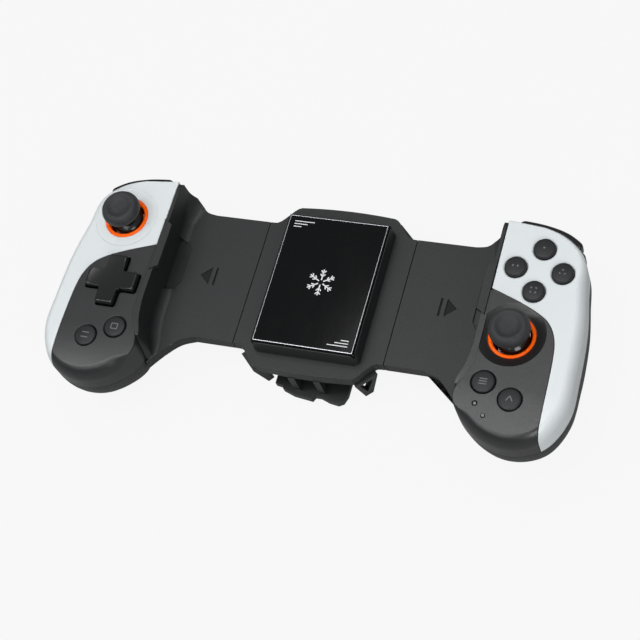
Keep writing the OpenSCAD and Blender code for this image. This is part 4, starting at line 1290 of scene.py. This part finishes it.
@dataclass(frozen=True)
class WallSection:
    """Section across a wing's inner wall, for the skin over that wall."""

    x: float
    y: float
    height: float
    fillet: float
    thick: float
    draft: float
    sunk: float = 0.3
    tongue: Point = (1.1, 0.5)

    def ring(self, rise: float) -> np.ndarray:
        """Points around the section.

        Args:
            rise: Height that the wall's draft is measured over.

        Returns:
            The ring, from the wall's foot up to its top and the thin tongue that covers the seam there.
        """
        inner = self.x - self.thick
        foot = inner - self.draft * max(0.0, self.height - self.fillet) / rise - self.fillet
        turns = np.linspace(-math.pi / 2, 0, 10)
        arc = [(foot + self.fillet * math.cos(a), self.fillet + self.fillet * math.sin(a)) for a in turns]
        over, under = self.x + self.tongue[0], self.height - self.tongue[1]
        line = [(self.x, -self.sunk), (foot, -self.sunk)] + arc
        line += [(inner, self.height), (over, self.height), (over, under), (self.x, under)]
        return np.array([(x, self.y, z) for x, z in line])


@dataclass
class Wing:
    """Wing plate with its inner wall, phone lip, pocket and engraved arrow."""

    side: Side
    form: GripForm = field(default_factory=GripForm)
    seam_x: float = 34.0
    half_height: float = 29.7
    wall_x: float = 74.7
    flare_x: float = 52.0
    arrow_x: float = 53.5
    rim: float = 1.6
    draft: float = 0.8
    strip_from: float = 3.0
    skin_from: float = -10.0
    skin_proud: float = 0.012
    skin_fillet: float = 4.05
    skin_thick: float = 1.55
    skin_reach: float = 1.3
    skin_low: float = -0.35
    mark_height: Point = (-0.52, -0.42)

    def outline(self, reach: float) -> np.ndarray:
        """Outline of the plate.

        Args:
            reach: How far the side at the grip is moved outwards.

        Returns:
            The outline's points, counterclockwise.
        """
        form, h, wall = self.form, self.half_height, self.wall_x
        run = form.plan(straight_head=True)[: form.steps + 1] + np.array([reach - form.gap, 0])
        meet = run[-1] - np.array([reach, 0])
        knots = [(self.flare_x, -h), (self.flare_x + 6.5, -h - 2.7), (self.flare_x + 12.2, -h - 8.1), meet]
        flare = spline(knots, 10)
        top = form.top
        knots = [(wall - 4.2, top + 0.2), (wall - 7.4, top - 2.6), (wall - 10.5, h + 0.9), (wall - 15.2, h)]
        head = spline(knots, 8)
        corner = [(wall + reach, top)]
        return np.vstack([[(self.seam_x, -h)], flare, run[::-1], corner, head, [(self.seam_x, h)]])

    def hollow(self) -> np.ndarray:
        """Outline of the room inside the plate, open at the seam.

        Returns:
            The outline's points.
        """
        line = self.outline(0)
        inset = line + inward(line) * self.rim
        inset[0] = (self.seam_x - 1, -self.half_height + self.rim)
        inset[-1] = (self.seam_x - 1, self.half_height - self.rim)
        return inset

    def build(self, shop: Workshop) -> None:
        """Dress the wing and its fork, and add the wall's skin and dark sheets of painted shade in the marks'
        floors.

        Args:
            shop: The workshop.
        """
        word = self.side.word
        shop.dress(f"{word}_wing", CHARCOAL, bevel=0.35, angle=50)
        shop.dress(f"{word}_fork", STEEL)
        # Dark sheets of painted shade in the engravings.
        marks = shop.blank(self.marks().mirrored(self.side), f"{word}_wing_marks")
        shop.finished(marks, f"{word}_grip", ENGRAVING_SHADE)
        skin = shop.blank(self.skin().mirrored(self.side), f"{word}_wall_skin")
        room = Shape().prism(self.outline(self.skin_reach), self.skin_low, self.form.rise + 0.1)
        shop.carve(skin, room.mirrored(self.side), Cut.KEEP)
        finish = FACE if self.side is Side.RIGHT else CHARCOAL
        shop.finished(skin, f"{word}_grip", finish, angle=24)

    def skin(self) -> Shape:
        """Skin over the inner wall, level with the dark face and running out at the plate's corner.

        Returns:
            A thin strip along the wall's top beside the pocket, and the skin from there downwards.
        """
        form, wall = self.form, self.wall_x
        plan = form.plan(straight_head=True)
        level = form.rise + self.skin_proud
        thick = {self.skin_from: self.skin_thick, -18: self.skin_thick, -22: 1.6, -26: 1.95, form.foot: 2.6}
        sections = [WallSection(wall, y, level, self.skin_fillet, t, self.draft) for y, t in thick.items()]
        # Steps along the grip's plan, each with its height, fillet, thickness and draft.
        corner = {
            3: (level, 4.1, 2.05, 0.8), 6: (level, 3.3, 1.55, 0.9), 8: (15.7, 2.3, 0.9, 1.4),
            8.8: (13.5, 1.8, 0.45, 2.1), 9.5: (9.5, 1.5, 0.25, 3.0), 10.2: (4.5, 0.9, 0.15, 5.0),
            10.8: (1.3, 0.6, 0.1, 6.0),
        }  # fmt: skip
        for step, sizes in corner.items():
            x, y = (np.interp(step, np.arange(len(plan)), plan[:, axis]) for axis in (0, 1))
            sections.append(WallSection(x - form.gap, y, *sizes))
        wide, deep = sections[0].tongue
        low = (wall - self.skin_thick, self.skin_from + 0.02, level - deep)
        high = (wall + wide, self.strip_from, level)
        return Shape().loft([section.ring(form.rise) for section in sections]).box(low, high)

    def marks(self) -> Shape:
        """Dark sheets of painted shade in the floors of the engraved arrow and bar.

        Returns:
            The dark sheets of painted shade.
        """
        x, (low, high) = self.arrow_x, self.mark_height
        shape = Shape().prism([(x + 0.05, 4.05), (x + 0.05, -4.05), (x + 4.65, 0)], low, high)
        return shape.box((x - 2.75, -4.15, low), (x - 1.95, 4.15, high))


@dataclass
class CentrePlate:
    """Centre plate with its covers, charging port and hidden slide."""

    def build(self, shop: Workshop) -> None:
        """Dress the covers and what they hold.

        Args:
            shop: The workshop.
        """
        shop.dress("centre_front_cover", CHARCOAL, bevel=0.3, angle=50)
        shop.dress("centre_rear_cover", CHARCOAL, bevel=0.25, angle=50)
        shop.dress("centre_screws", STEEL, bevel=0.15)
        shop.dress("charging_port", STEEL, bevel=0.1)
        shop.dress("sync_pinion", CERAMIC)
        shop.dress("pull_spring", STEEL)


@dataclass
class CoolingBlock:
    """Raised block: frame, cold plate with its bright rim, glossy panel and the cooler under it."""

    panel_top: float = 8.0
    ink: float = 0.02
    half_x: float = 21.9
    half_y: float = 30.1
    ray: Point = (1.1, 6.2)
    ray_width: float = 0.55
    twig_roots: Point = (2.9, 4.6)
    twig: float = 1.1
    twig_width: float = 0.5
    rules: Triple = (9.0, 6.0, 3.5)
    rule_width: float = 0.4
    rule_pitch: float = 1.3
    rule_inset: float = 2.4

    def build(self, shop: Workshop) -> None:
        """Dress the block and print the panel.

        Args:
            shop: The workshop.
        """
        shop.dress("cooler_frame", CHARCOAL, bevel=0.3, angle=50)
        shop.dress("cold_plate", TRIM, bevel=0.08)
        shop.dress("cooling_panel", PANEL, bevel=0.1)
        shop.dress("cooling_module", CERAMIC)
        shop.dress("heat_sink", ALUMINIUM)
        shop.finished(shop.blank(self.marks(), "panel_marks"), "centre", WHITE_INK)

    def bar(self, shape: Shape, a: Sequence[float], b: Sequence[float], width: float) -> None:
        """Add a printed bar between two points of the panel."""
        shape.prism(stroke(a, b, width), self.panel_top, self.panel_top + self.ink)

    def marks(self) -> Shape:
        """Printed marks: a frost star in the middle and plain rule lines in two corners.

        Returns:
            The marks.
        """
        shape = Shape()
        for k in range(6):
            a = math.radians(60 * k + 30)
            ahead, across = np.array([math.cos(a), math.sin(a)]), np.array([-math.sin(a), math.cos(a)])
            self.bar(shape, ahead * self.ray[0], ahead * self.ray[1], self.ray_width)
            for reach in self.twig_roots:
                for turn in (-1, 1):
                    root = ahead * reach
                    tip = root + ahead * self.twig + across * self.twig * turn
                    self.bar(shape, root + across * 0.32 * turn + ahead * 0.1, tip, self.twig_width)
        for turn in (-1, 1):
            x, y = -turn * (self.half_x - self.rule_inset), turn * (self.half_y - self.rule_inset)
            for k, length in enumerate(self.rules):
                level = y - turn * self.rule_pitch * k
                self.bar(shape, (x, level), (x + turn * length, level), self.rule_width)
        return shape


@dataclass
class RearCooler:
    """Fan, its motor, the guard under it and the corner feet."""

    def build(self, shop: Workshop) -> None:
        """Dress the cooler under the plate.

        Args:
            shop: The workshop.
        """
        shop.dress("rear_guard", CHARCOAL, bevel=0.4, angle=50)
        shop.dress("corner_feet", CHARCOAL, bevel=0.3, angle=30)
        shop.dress("fan_rotor", SATIN, bevel=0.12)
        shop.dress("fan_motor", SATIN, bevel=0.1)


@dataclass
class ThumbStick:
    """Thumb stick with its rubber cap, polished dome and bright ring."""

    side: Side
    controls: Controls = field(default_factory=Controls)
    pivot: float = 8.5
    dome_radius: float = 9.0
    dome_edge: float = 51.0
    dome_wall: float = 0.8
    cap_radius: float = 8.5
    cap_top: float = 18.0
    neck: Point = (3.6, 8.4)
    stem: float = 1.55
    bead: float = 0.75
    bead_sunk: float = 0.35
    ceiling: float = 14.0
    rise: float = 16.0
    around: int = 96

    @property
    def place(self) -> Point:
        """Place of the stick in the drawing."""
        return self.controls.left_stick if self.side is Side.LEFT else self.controls.right_stick

    @property
    def sunk(self) -> float:
        """How much deeper this stick sits than the left one."""
        return 0.0 if self.side is Side.LEFT else self.controls.sunk

    def build(self, shop: Workshop) -> None:
        """Build the cap, dome and ring, and dress the works under them.

        Args:
            shop: The workshop.
        """
        word = self.side.word
        body, ring = f"{word}_stick_cap", f"{word}_stick_ring"
        base = self.pivot - self.sunk
        cap = shop.blank(self.turned(self.cap_profile(), base), f"{word}_cap_pad")
        shop.finished(cap, body, RUBBER, [body], angle=50)
        dome = shop.blank(self.turned(self.dome_profile(), base), f"{word}_dome")
        shop.finished(dome, body, BLACK, [body], angle=40)
        bead = shop.blank(self.turned(self.ring_profile(), -self.sunk), f"{word}_bead")
        shop.finished(bead, f"{word}_grip", ORANGE, [ring], angle=50)
        shop.dress(f"{word}_stick_base", SATIN, bevel=0.2)
        shop.dress(f"{word}_stick_gimbal", STEEL, bevel=0.1)
        shop.dress(f"{word}_stick_pivot", SATIN, bevel=0.1)

    def turned(self, profile: list[Point], base: float) -> Shape:
        """Body turned about the stick's axis."""
        return Shape().lathe(profile, self.place, base, self.around).mirrored(self.side)

    def cap_profile(self) -> list[Point]:
        """Profile of the rubber cap, from the middle of its dish down to its neck.

        Returns:
            The profile's points, each a radius and a height.
        """
        r, top, (neck, foot) = self.cap_radius, self.cap_top, self.neck
        knots = [
            (0.001, top - 1.3), (r - 5.5, top - 1.15), (r - 4.2, top - 0.75), (r - 3.1, top - 0.12),
            (r - 2.2, top), (r - 1.1, top - 0.55), (r - 0.3, top - 1.8), (r, top - 3.3),
            (r - 0.25, top - 4.5), (r - 1.4, top - 5.7), (r - 3.4, top - 6.4), (neck, top - 6.6),
        ]  # fmt: skip
        curve = spline(knots, 5)
        return [(0.0, top - 1.3)] + [(u, min(v, top)) for u, v in curve[1:]] + [(neck, foot), (0.0, foot)]

    def dome_profile(self) -> list[Point]:
        """Profile of the polished dome that closes the stick's opening, with the stem under it.

        Returns:
            The profile's points, each a radius and a height.
        """
        turns = [math.radians(90 - self.dome_edge * k / 14) for k in range(15)]
        out = [(self.dome_radius * math.cos(a), self.dome_radius * math.sin(a)) for a in turns]
        inner = self.dome_radius - self.dome_wall
        back = [(inner * math.cos(a), inner * math.sin(a)) for a in reversed(turns[4:])]
        out[0] = (0.0, self.dome_radius)
        return out + back + [(self.stem, back[-1][1]), (self.stem, 0.0), (0.0, 0.0)]

    def ring_profile(self) -> list[Point]:
        """Profile of the bright ring: a rounded bead on a flange under the shell.

        Returns:
            The profile's points, each a radius and a height.
        """
        r, low, bead = self.controls.ring_radius, self.ceiling, self.bead
        middle, turns = self.rise - self.bead_sunk, np.linspace(math.pi, 0, 13)
        arc = [(r - bead + bead * math.cos(a), middle + bead * math.sin(a)) for a in turns]
        return arc + [(r, low), (r + 0.6, low), (r + 0.6, low - 1.2), (r - 1.5, low - 1.2)]


@dataclass
class DirectionPad:
    """Cross-shaped pad with rounded arms and a shallow dish."""

    side: Side = Side.LEFT
    controls: Controls = field(default_factory=Controls)
    span: float = 23.5
    arm: float = 8.5
    corner: float = 1.2
    top: float = 19.0
    soft: float = 0.9
    dish: Point = (11.4, 0.8)
    skirt: Point = (11.5, 12.7)
    skirt_grow: float = 1.0
    room: Point = (6.3, 5.6)
    room_height: Point = (10.0, 14.6)
    ear: Point = (2.0, 0.8)
    ear_y: float = 4.4
    ear_height: Point = (9.8, 14.8)

    def outline(self, grow: float) -> np.ndarray:
        """Rounded cross, larger by grow on every side.

        Args:
            grow: How much larger.

        Returns:
            The outline's points, counterclockwise.
        """
        a, b = self.arm / 2 + grow, self.span / 2 + grow
        quarter = [(b, -a), (b, a), (a, a)]
        corners = []
        for c, s in ((1, 0), (0, 1), (-1, 0), (0, -1)):
            corners += [(x * c - y * s, x * s + y * c) for x, y in quarter]
        return rounded(corners, self.corner) + np.array(self.controls.pad)

    def build(self, shop: Workshop) -> None:
        """Build the pad and dress its pivot.

        Args:
            shop: The workshop.
        """
        line = self.outline(0)
        normals = inward(line)
        rings = []
        for a in np.linspace(math.pi / 2, 0, 8):
            plan = line + normals * self.soft * (1 - math.cos(a))
            rings.append(level_ring(plan, self.top - self.soft * (1 - math.sin(a))))
        rings.append(level_ring(line, self.skirt[1] - 0.1))
        piece = shop.blank(Shape().loft(rings).mirrored(self.side), "pad_cross")
        x, y = self.controls.pad
        long, wide = self.span / 2, self.arm / 2 + self.skirt_grow
        for half in ((long, wide), (wide, long)):
            skirt = Shape().block((x, y), half, self.skirt)
            shop.carve(piece, skirt.mirrored(self.side), Cut.JOIN)
        room = Shape().block((x, y), self.room, self.room_height)
        shop.carve(piece, room.mirrored(self.side), Cut.REMOVE)
        wide, deep = self.dish
        bowl = [(wide * t, self.top - deep * (1 - t * t)) for t in np.linspace(1, 0, 14)]
        dish = Shape().lathe([(0, self.top + 1), (wide, self.top + 1)] + bowl, (x, y))
        shop.carve(piece, dish.mirrored(self.side), Cut.REMOVE)
        ears = Shape()
        for middle in (-self.ear_y, self.ear_y):
            ears.block((x, y + middle), self.ear, self.ear_height)
        shop.carve(piece, ears.mirrored(self.side), Cut.JOIN)
        shop.finished(piece, "dpad", BLACK, ["dpad"], angle=40)
        shop.dress("dpad_pivot", STEEL, bevel=0.1)
        shop.dress("dpad_bracket", SATIN, bevel=0.15)


@dataclass
class PushButton:
    """Round button with a crowned top, a flange under the shell and plain printed marks."""

    node: str
    side: Side
    at: Point
    radius: float
    proud: float
    dots: tuple[Point, ...] = ()
    bars: tuple[tuple[Point, Point], ...] = ()
    rise: float = 16.0
    crown: float = 0.22
    soft: float = 0.7
    flange: Triple = (0.9, 12.5, 13.7)
    plunger: Point = (3.0, 4.3)
    ink: Point = (0.1, 0.004)
    dot_radius: float = 0.42
    bar_width: float = 0.44

    def build(self, shop: Workshop) -> None:
        """Build the button and its marks.

        Args:
            shop: The workshop.
        """
        button = Shape().lathe(self.profile(), self.at).mirrored(self.side)
        key = shop.blank(button, f"{self.node}_key")
        shop.finished(key, self.node, KEY, [self.node], angle=45)
        marks = self.marks()
        if marks.faces:
            piece = shop.blank(marks.mirrored(self.side), f"{self.node}_mark")
            shop.finished(piece, self.node, GREY_INK)

    def profile(self) -> list[Point]:
        """Profile from the top of the crown down to the plunger's foot.

        Returns:
            The profile's points, each a radius and a height.
        """
        r, top, soft = self.radius, self.rise + self.proud, self.soft
        middle, turns = top - self.crown - soft, np.linspace(0.25, math.pi / 2, 7)
        edge = [(r - soft + soft * math.sin(a), middle + soft * math.cos(a)) for a in turns]
        crown = [((r - soft) * t, top - self.crown * t * t) for t in (0.0, 0.25, 0.5, 0.75, 0.95)]
        wide, low, high = self.flange
        foot = [(r, high), (r + wide, high), (r + wide, low), (self.plunger[0], low), self.plunger]
        return crown + edge + foot + [(0.0, self.plunger[1])]

    def marks(self) -> Shape:
        """Printed dots and bars on the crown.

        Returns:
            The marks, or an empty shape.
        """
        shape = Shape()
        outlines = [((x, y), circle((x, y), self.dot_radius, 20)) for x, y in self.dots]
        for a, b in self.bars:
            middle = ((a[0] + b[0]) / 2, (a[1] + b[1]) / 2)
            outlines.append((middle, np.array(stroke(a, b, self.bar_width))))
        for (x, y), outline in outlines:
            fall = self.crown * (x * x + y * y) / (self.radius - self.soft) ** 2
            z = self.rise + self.proud - fall
            shape.prism(outline + np.array(self.at), z - self.ink[0], z + self.ink[1])
        return shape


@dataclass(frozen=True)
class KeyBar:
    """Sizes of a key along a grip's upper edge.

    Its reach is measured from the grip's outline and its ends from the grip's inner and outer side. Soft is
    the radius of its outer edges, and blunt is the length over which its ends are rounded.
    """

    reach: Point
    height: Point
    ends: Point
    soft: float
    blunt: float


@dataclass
class RearKeys:
    """Shoulder button and trigger along a grip's upper edge."""

    side: Side
    form: GripForm = field(default_factory=GripForm)
    shoulder: KeyBar = KeyBar((-3.0, 2.7), (7.6, 13.6), (3.7, 9.2), 1.5, 2.6)
    trigger: KeyBar = KeyBar((-3.5, 4.5), (-9.5, -0.2), (7.0, 10.8), 2.6, 3.5)
    pin: Point = (9.0, 5.2)
    boss_radius: float = 2.3
    bore_radius: float = 1.05
    arm_low: Triple = (7.1, 21.5, -5.6)
    arm_high: Triple = (18.6, -4.0, -0.4)

    def build(self, shop: Workshop) -> None:
        """Build both keys and dress the trigger's pin.

        Args:
            shop: The workshop.
        """
        word, x, top = self.side.word, self.form.inner_x, self.form.top
        pin, (low, high) = (x + self.pin[0], top - self.pin[1]), self.shoulder.height
        shoulder = shop.blank(self.swept(self.shoulder).mirrored(self.side), f"{word}_shoulder_bar")
        boss = Shape().prism(circle(pin, self.boss_radius, 40), low, high)
        shop.carve(shoulder, boss.mirrored(self.side), Cut.JOIN)
        hole = Shape().prism(circle(pin, self.bore_radius, 32), low - 1, high + 1)
        shop.carve(shoulder, hole.mirrored(self.side), Cut.REMOVE)
        shop.finished(shoulder, f"{word}_shoulder", BLACK, [f"{word}_shoulder"], angle=40)
        trigger = shop.blank(self.swept(self.trigger).mirrored(self.side), f"{word}_trigger_bar")
        (near, front, low), (far, back, high) = self.arm_low, self.arm_high
        arm = Shape().box((x + near, front, low), (x + far, top + back, high))
        shop.carve(trigger, arm.mirrored(self.side), Cut.JOIN)
        shop.finished(trigger, f"{word}_trigger", KEY, [f"{word}_trigger"], angle=40)
        shop.dress(f"{word}_trigger_pin", STEEL, bevel=0.1)

    def swept(self, bar: KeyBar) -> Shape:
        """Bar along the grip's upper edge with rounded edges and ends.

        Args:
            bar: Its sizes.

        Returns:
            The bar.
        """
        form, soft = self.form, bar.soft
        run = (form.inner_x + bar.ends[0], form.inner_x + form.width - bar.ends[1])
        inner, outer = (form.edge(offset, *run) for offset in bar.reach)
        width = bar.reach[1] - bar.reach[0]
        turns = np.linspace(0, math.pi / 2, 7)
        corner = [(width - soft + soft * math.cos(a), soft * math.sin(a)) for a in turns]
        low, high = bar.height
        section = [(0.0, low)] + [(u, low + soft - v) for u, v in reversed(corner)]
        section += [(u, high - soft + v) for u, v in corner] + [(0.0, high)]
        length = np.concatenate([[0], np.cumsum(np.linalg.norm(np.diff(outer, axis=0), axis=1))])
        middle = (low + high) / 2
        rings = []
        for k in range(len(outer)):
            near = min(1.0, min(length[k], length[-1] - length[k]) / bar.blunt)
            full = math.sqrt(1 - (1 - near) ** 2)
            across = (outer[k] - inner[k]) / width
            ring = []
            for u, z in section:
                p = inner[k] + across * u * (0.5 + 0.5 * full)
                ring.append((p[0], p[1], middle + (z - middle) * (0.86 + 0.14 * full)))
            rings.append(np.array(ring))
        return Shape().loft(rings)


@dataclass
class InnerWorks:
    """Boards, battery, motors, screws and light pipes inside the grips."""

    def build(self, shop: Workshop) -> None:
        """Dress what the grips hold.

        Args:
            shop: The workshop.
        """
        for side in Side:
            shop.dress(f"{side.word}_board", BOARD)
            shop.dress(f"{side.word}_rumble_motor", STEEL, bevel=0.15)
            shop.dress(f"{side.word}_screws", STEEL, bevel=0.12)
        shop.dress("battery", FOIL, bevel=0.6)
        shop.dress("indicator_lights", LENS)


@dataclass
class Studio:
    """Camera, lights and pale floor."""

    place: Place
    eye: Triple = (240.5, -291.5, 614.4)
    right: Triple = (0.9332082, 0.2641561, -0.2436062)
    up: Triple = (-0.13225, 0.88283, 0.45068)
    back: Triple = (0.3341141, -0.3883626, 0.8588028)
    lens: float = 95.34
    aim: Triple = (0.0, 0.0, 0.03)
    half_floor: float = 4.0
    floor_white: float = 0.9
    floor_shine: float = 0.12

    def build(self) -> None:
        """Set the view up."""
        bpy.context.scene.view_settings.view_transform = "Standard"
        self.camera()
        self.floor()
        self.world()
        self.lamp("key_light", (-0.12, 0.04, 1.2), 0.8, 5.5)
        self.lamp("left_light", (-0.7, -0.2, 1.15), 0.28, 2.1)
        self.lamp("right_light", (0.75, -0.85, 0.7), 0.6, 5.8)
        self.lamp("front_light", (-0.3, -0.75, 1.1), 0.65, 2.8)

    def camera(self) -> None:
        """Place the camera where the photograph was taken from."""
        data = bpy.data.cameras.new("camera")
        data.lens = self.lens
        data.sensor_width = 36.0
        data.clip_start = 0.01
        made = bpy.data.objects.new("camera", data)
        turn = Matrix((self.right, self.up, self.back)).transposed().to_4x4()
        made.matrix_world = Matrix.Translation(self.place.vector(*self.eye)) @ turn
        bpy.context.scene.collection.objects.link(made)
        bpy.context.scene.camera = made

    def floor(self) -> None:
        """Lay a pale floor that stays white to the camera and keeps the shadow."""
        mesh, h = bpy.data.meshes.new("floor"), self.half_floor
        mesh.from_pydata([(-h, -h, 0), (h, -h, 0), (h, h, 0), (-h, h, 0)], [], [(0, 1, 2, 3)])
        made = bpy.data.objects.new("floor", mesh)
        bpy.context.scene.collection.objects.link(made)
        material = bpy.data.materials.new("floor_paint")
        g = Graph(material)
        speck = g.noise(60.0, 2.0)
        g.shader({"Base Color": g.blend(speck, (0.33, 0.33, 0.33), (0.37, 0.37, 0.37)), "Roughness": 0.9})
        kinds = ("Camera", "Glossy", "Transmission")
        seen, glossy, passed = (g.add("ShaderNodeLightPath", {}, {}, f"Is {kind} Ray") for kind in kinds)
        glow = g.add("ShaderNodeEmission", {}, {"Color": (1.0, 1.0, 1.0), "Strength": 1.0})
        paint = Wire(g, g.tree.nodes["Principled BSDF"].outputs[0])
        share = (seen + glossy * self.floor_shine + passed) * self.floor_white
        mixed = g.add("ShaderNodeMixShader", {}, {0: share, 1: paint, 2: glow})
        g.feed(g.tree.nodes["Material Output"].inputs["Surface"], mixed)
        mesh.materials.append(material)

    def world(self) -> None:
        """Light the room evenly, darker towards the floor."""
        world = bpy.data.worlds.new("room")
        bpy.context.scene.world = world
        g = Graph(world)
        spot = g.add("ShaderNodeTexCoord", {}, {}, "Generated")
        height = g.add("ShaderNodeSeparateXYZ", {}, {0: spot}, "Z")
        shade = g.blend(height.above(0.35, 0.5), (0.22, 0.22, 0.23), (0.38, 0.38, 0.39))
        seen = g.add("ShaderNodeLightPath", {}, {}, "Is Camera Ray")
        colour = g.blend(seen, shade, (0.93, 0.93, 0.93))
        back = g.tree.nodes["Background"]
        g.feed(back.inputs["Color"], colour)
        back.inputs["Strength"].default_value = 1.0

    def lamp(self, name: str, spot: Triple, size: float, power: float) -> None:
        """Hang a soft square lamp that looks at the object.

        Args:
            name: Name of the lamp.
            spot: Where it hangs, in metres.
            size: Its side in metres.
            power: Its power in watts.
        """
        data = bpy.data.lights.new(name, "AREA")
        data.shape = "SQUARE"
        data.size = size
        data.energy = power
        made = bpy.data.objects.new(name, data)
        made.location = spot
        made.rotation_euler = (Vector(self.aim) - Vector(spot)).to_track_quat("-Z", "Y").to_euler()
        bpy.context.scene.collection.objects.link(made)


def buttons() -> list[PushButton]:
    """The eight round buttons with their plain marks.

    Returns:
        The buttons, the four face buttons first.
    """
    at = Controls()
    d = 0.95
    triangle = ((0.0, d), (-d, -0.6), (d, -0.6))
    square = ((-d, -d), (d, -d), (d, d), (-d, d))
    face = {
        "face_button_top": (90, ((0.0, 0.0),)),
        "face_button_left": (180, ((-d, 0.0), (d, 0.0))),
        "face_button_right": (0, triangle),
        "face_button_bottom": (270, square),
    }
    made = []
    for node, (turn, dots) in face.items():
        made.append(PushButton(node, Side.RIGHT, at.face(turn), at.face_radius, at.face_proud, dots))
    rules = tuple(((-1.6, y), (1.6, y)) for y in (-1.1, 0.0, 1.1))
    corners = ((-1.4, -1.2), (1.4, -1.2), (1.4, 1.2), (-1.4, 1.2))
    box_bars = tuple(zip(corners, corners[1:] + corners[:1]))
    roof_bars = (((-1.3, -0.9), (0.0, 1.3)), ((0.0, 1.3), (1.3, -0.9)))
    function = {
        ("left_inner_button", Side.LEFT): (at.inner_button, box_bars),
        ("left_outer_button", Side.LEFT): (at.outer_button, rules[::2]),
        ("right_inner_button", Side.RIGHT): (at.inner_button, rules),
        ("right_outer_button", Side.RIGHT): (at.outer_button, roof_bars),
    }
    for (node, side), (place, bars) in function.items():
        made.append(PushButton(node, side, place, at.function_radius, at.function_proud, bars=bars))
    return made


def main() -> None:
    """Build the dressed scene piece by piece."""
    logging.basicConfig(level=logging.INFO, format="%(message)s")
    place = Place.from_frame(CoolingBlock().panel_top)
    Studio(place).build()
    shop = Workshop(place)
    parts: list[Any] = [CentrePlate(), CoolingBlock(), RearCooler(), InnerWorks(), DirectionPad()]
    for side in Side:
        parts += [GripShells(side), Wing(side), ThumbStick(side), RearKeys(side)]
    parts += buttons()
    for part in parts:
        part.build(shop)


if __name__ == "__main__":
    main()
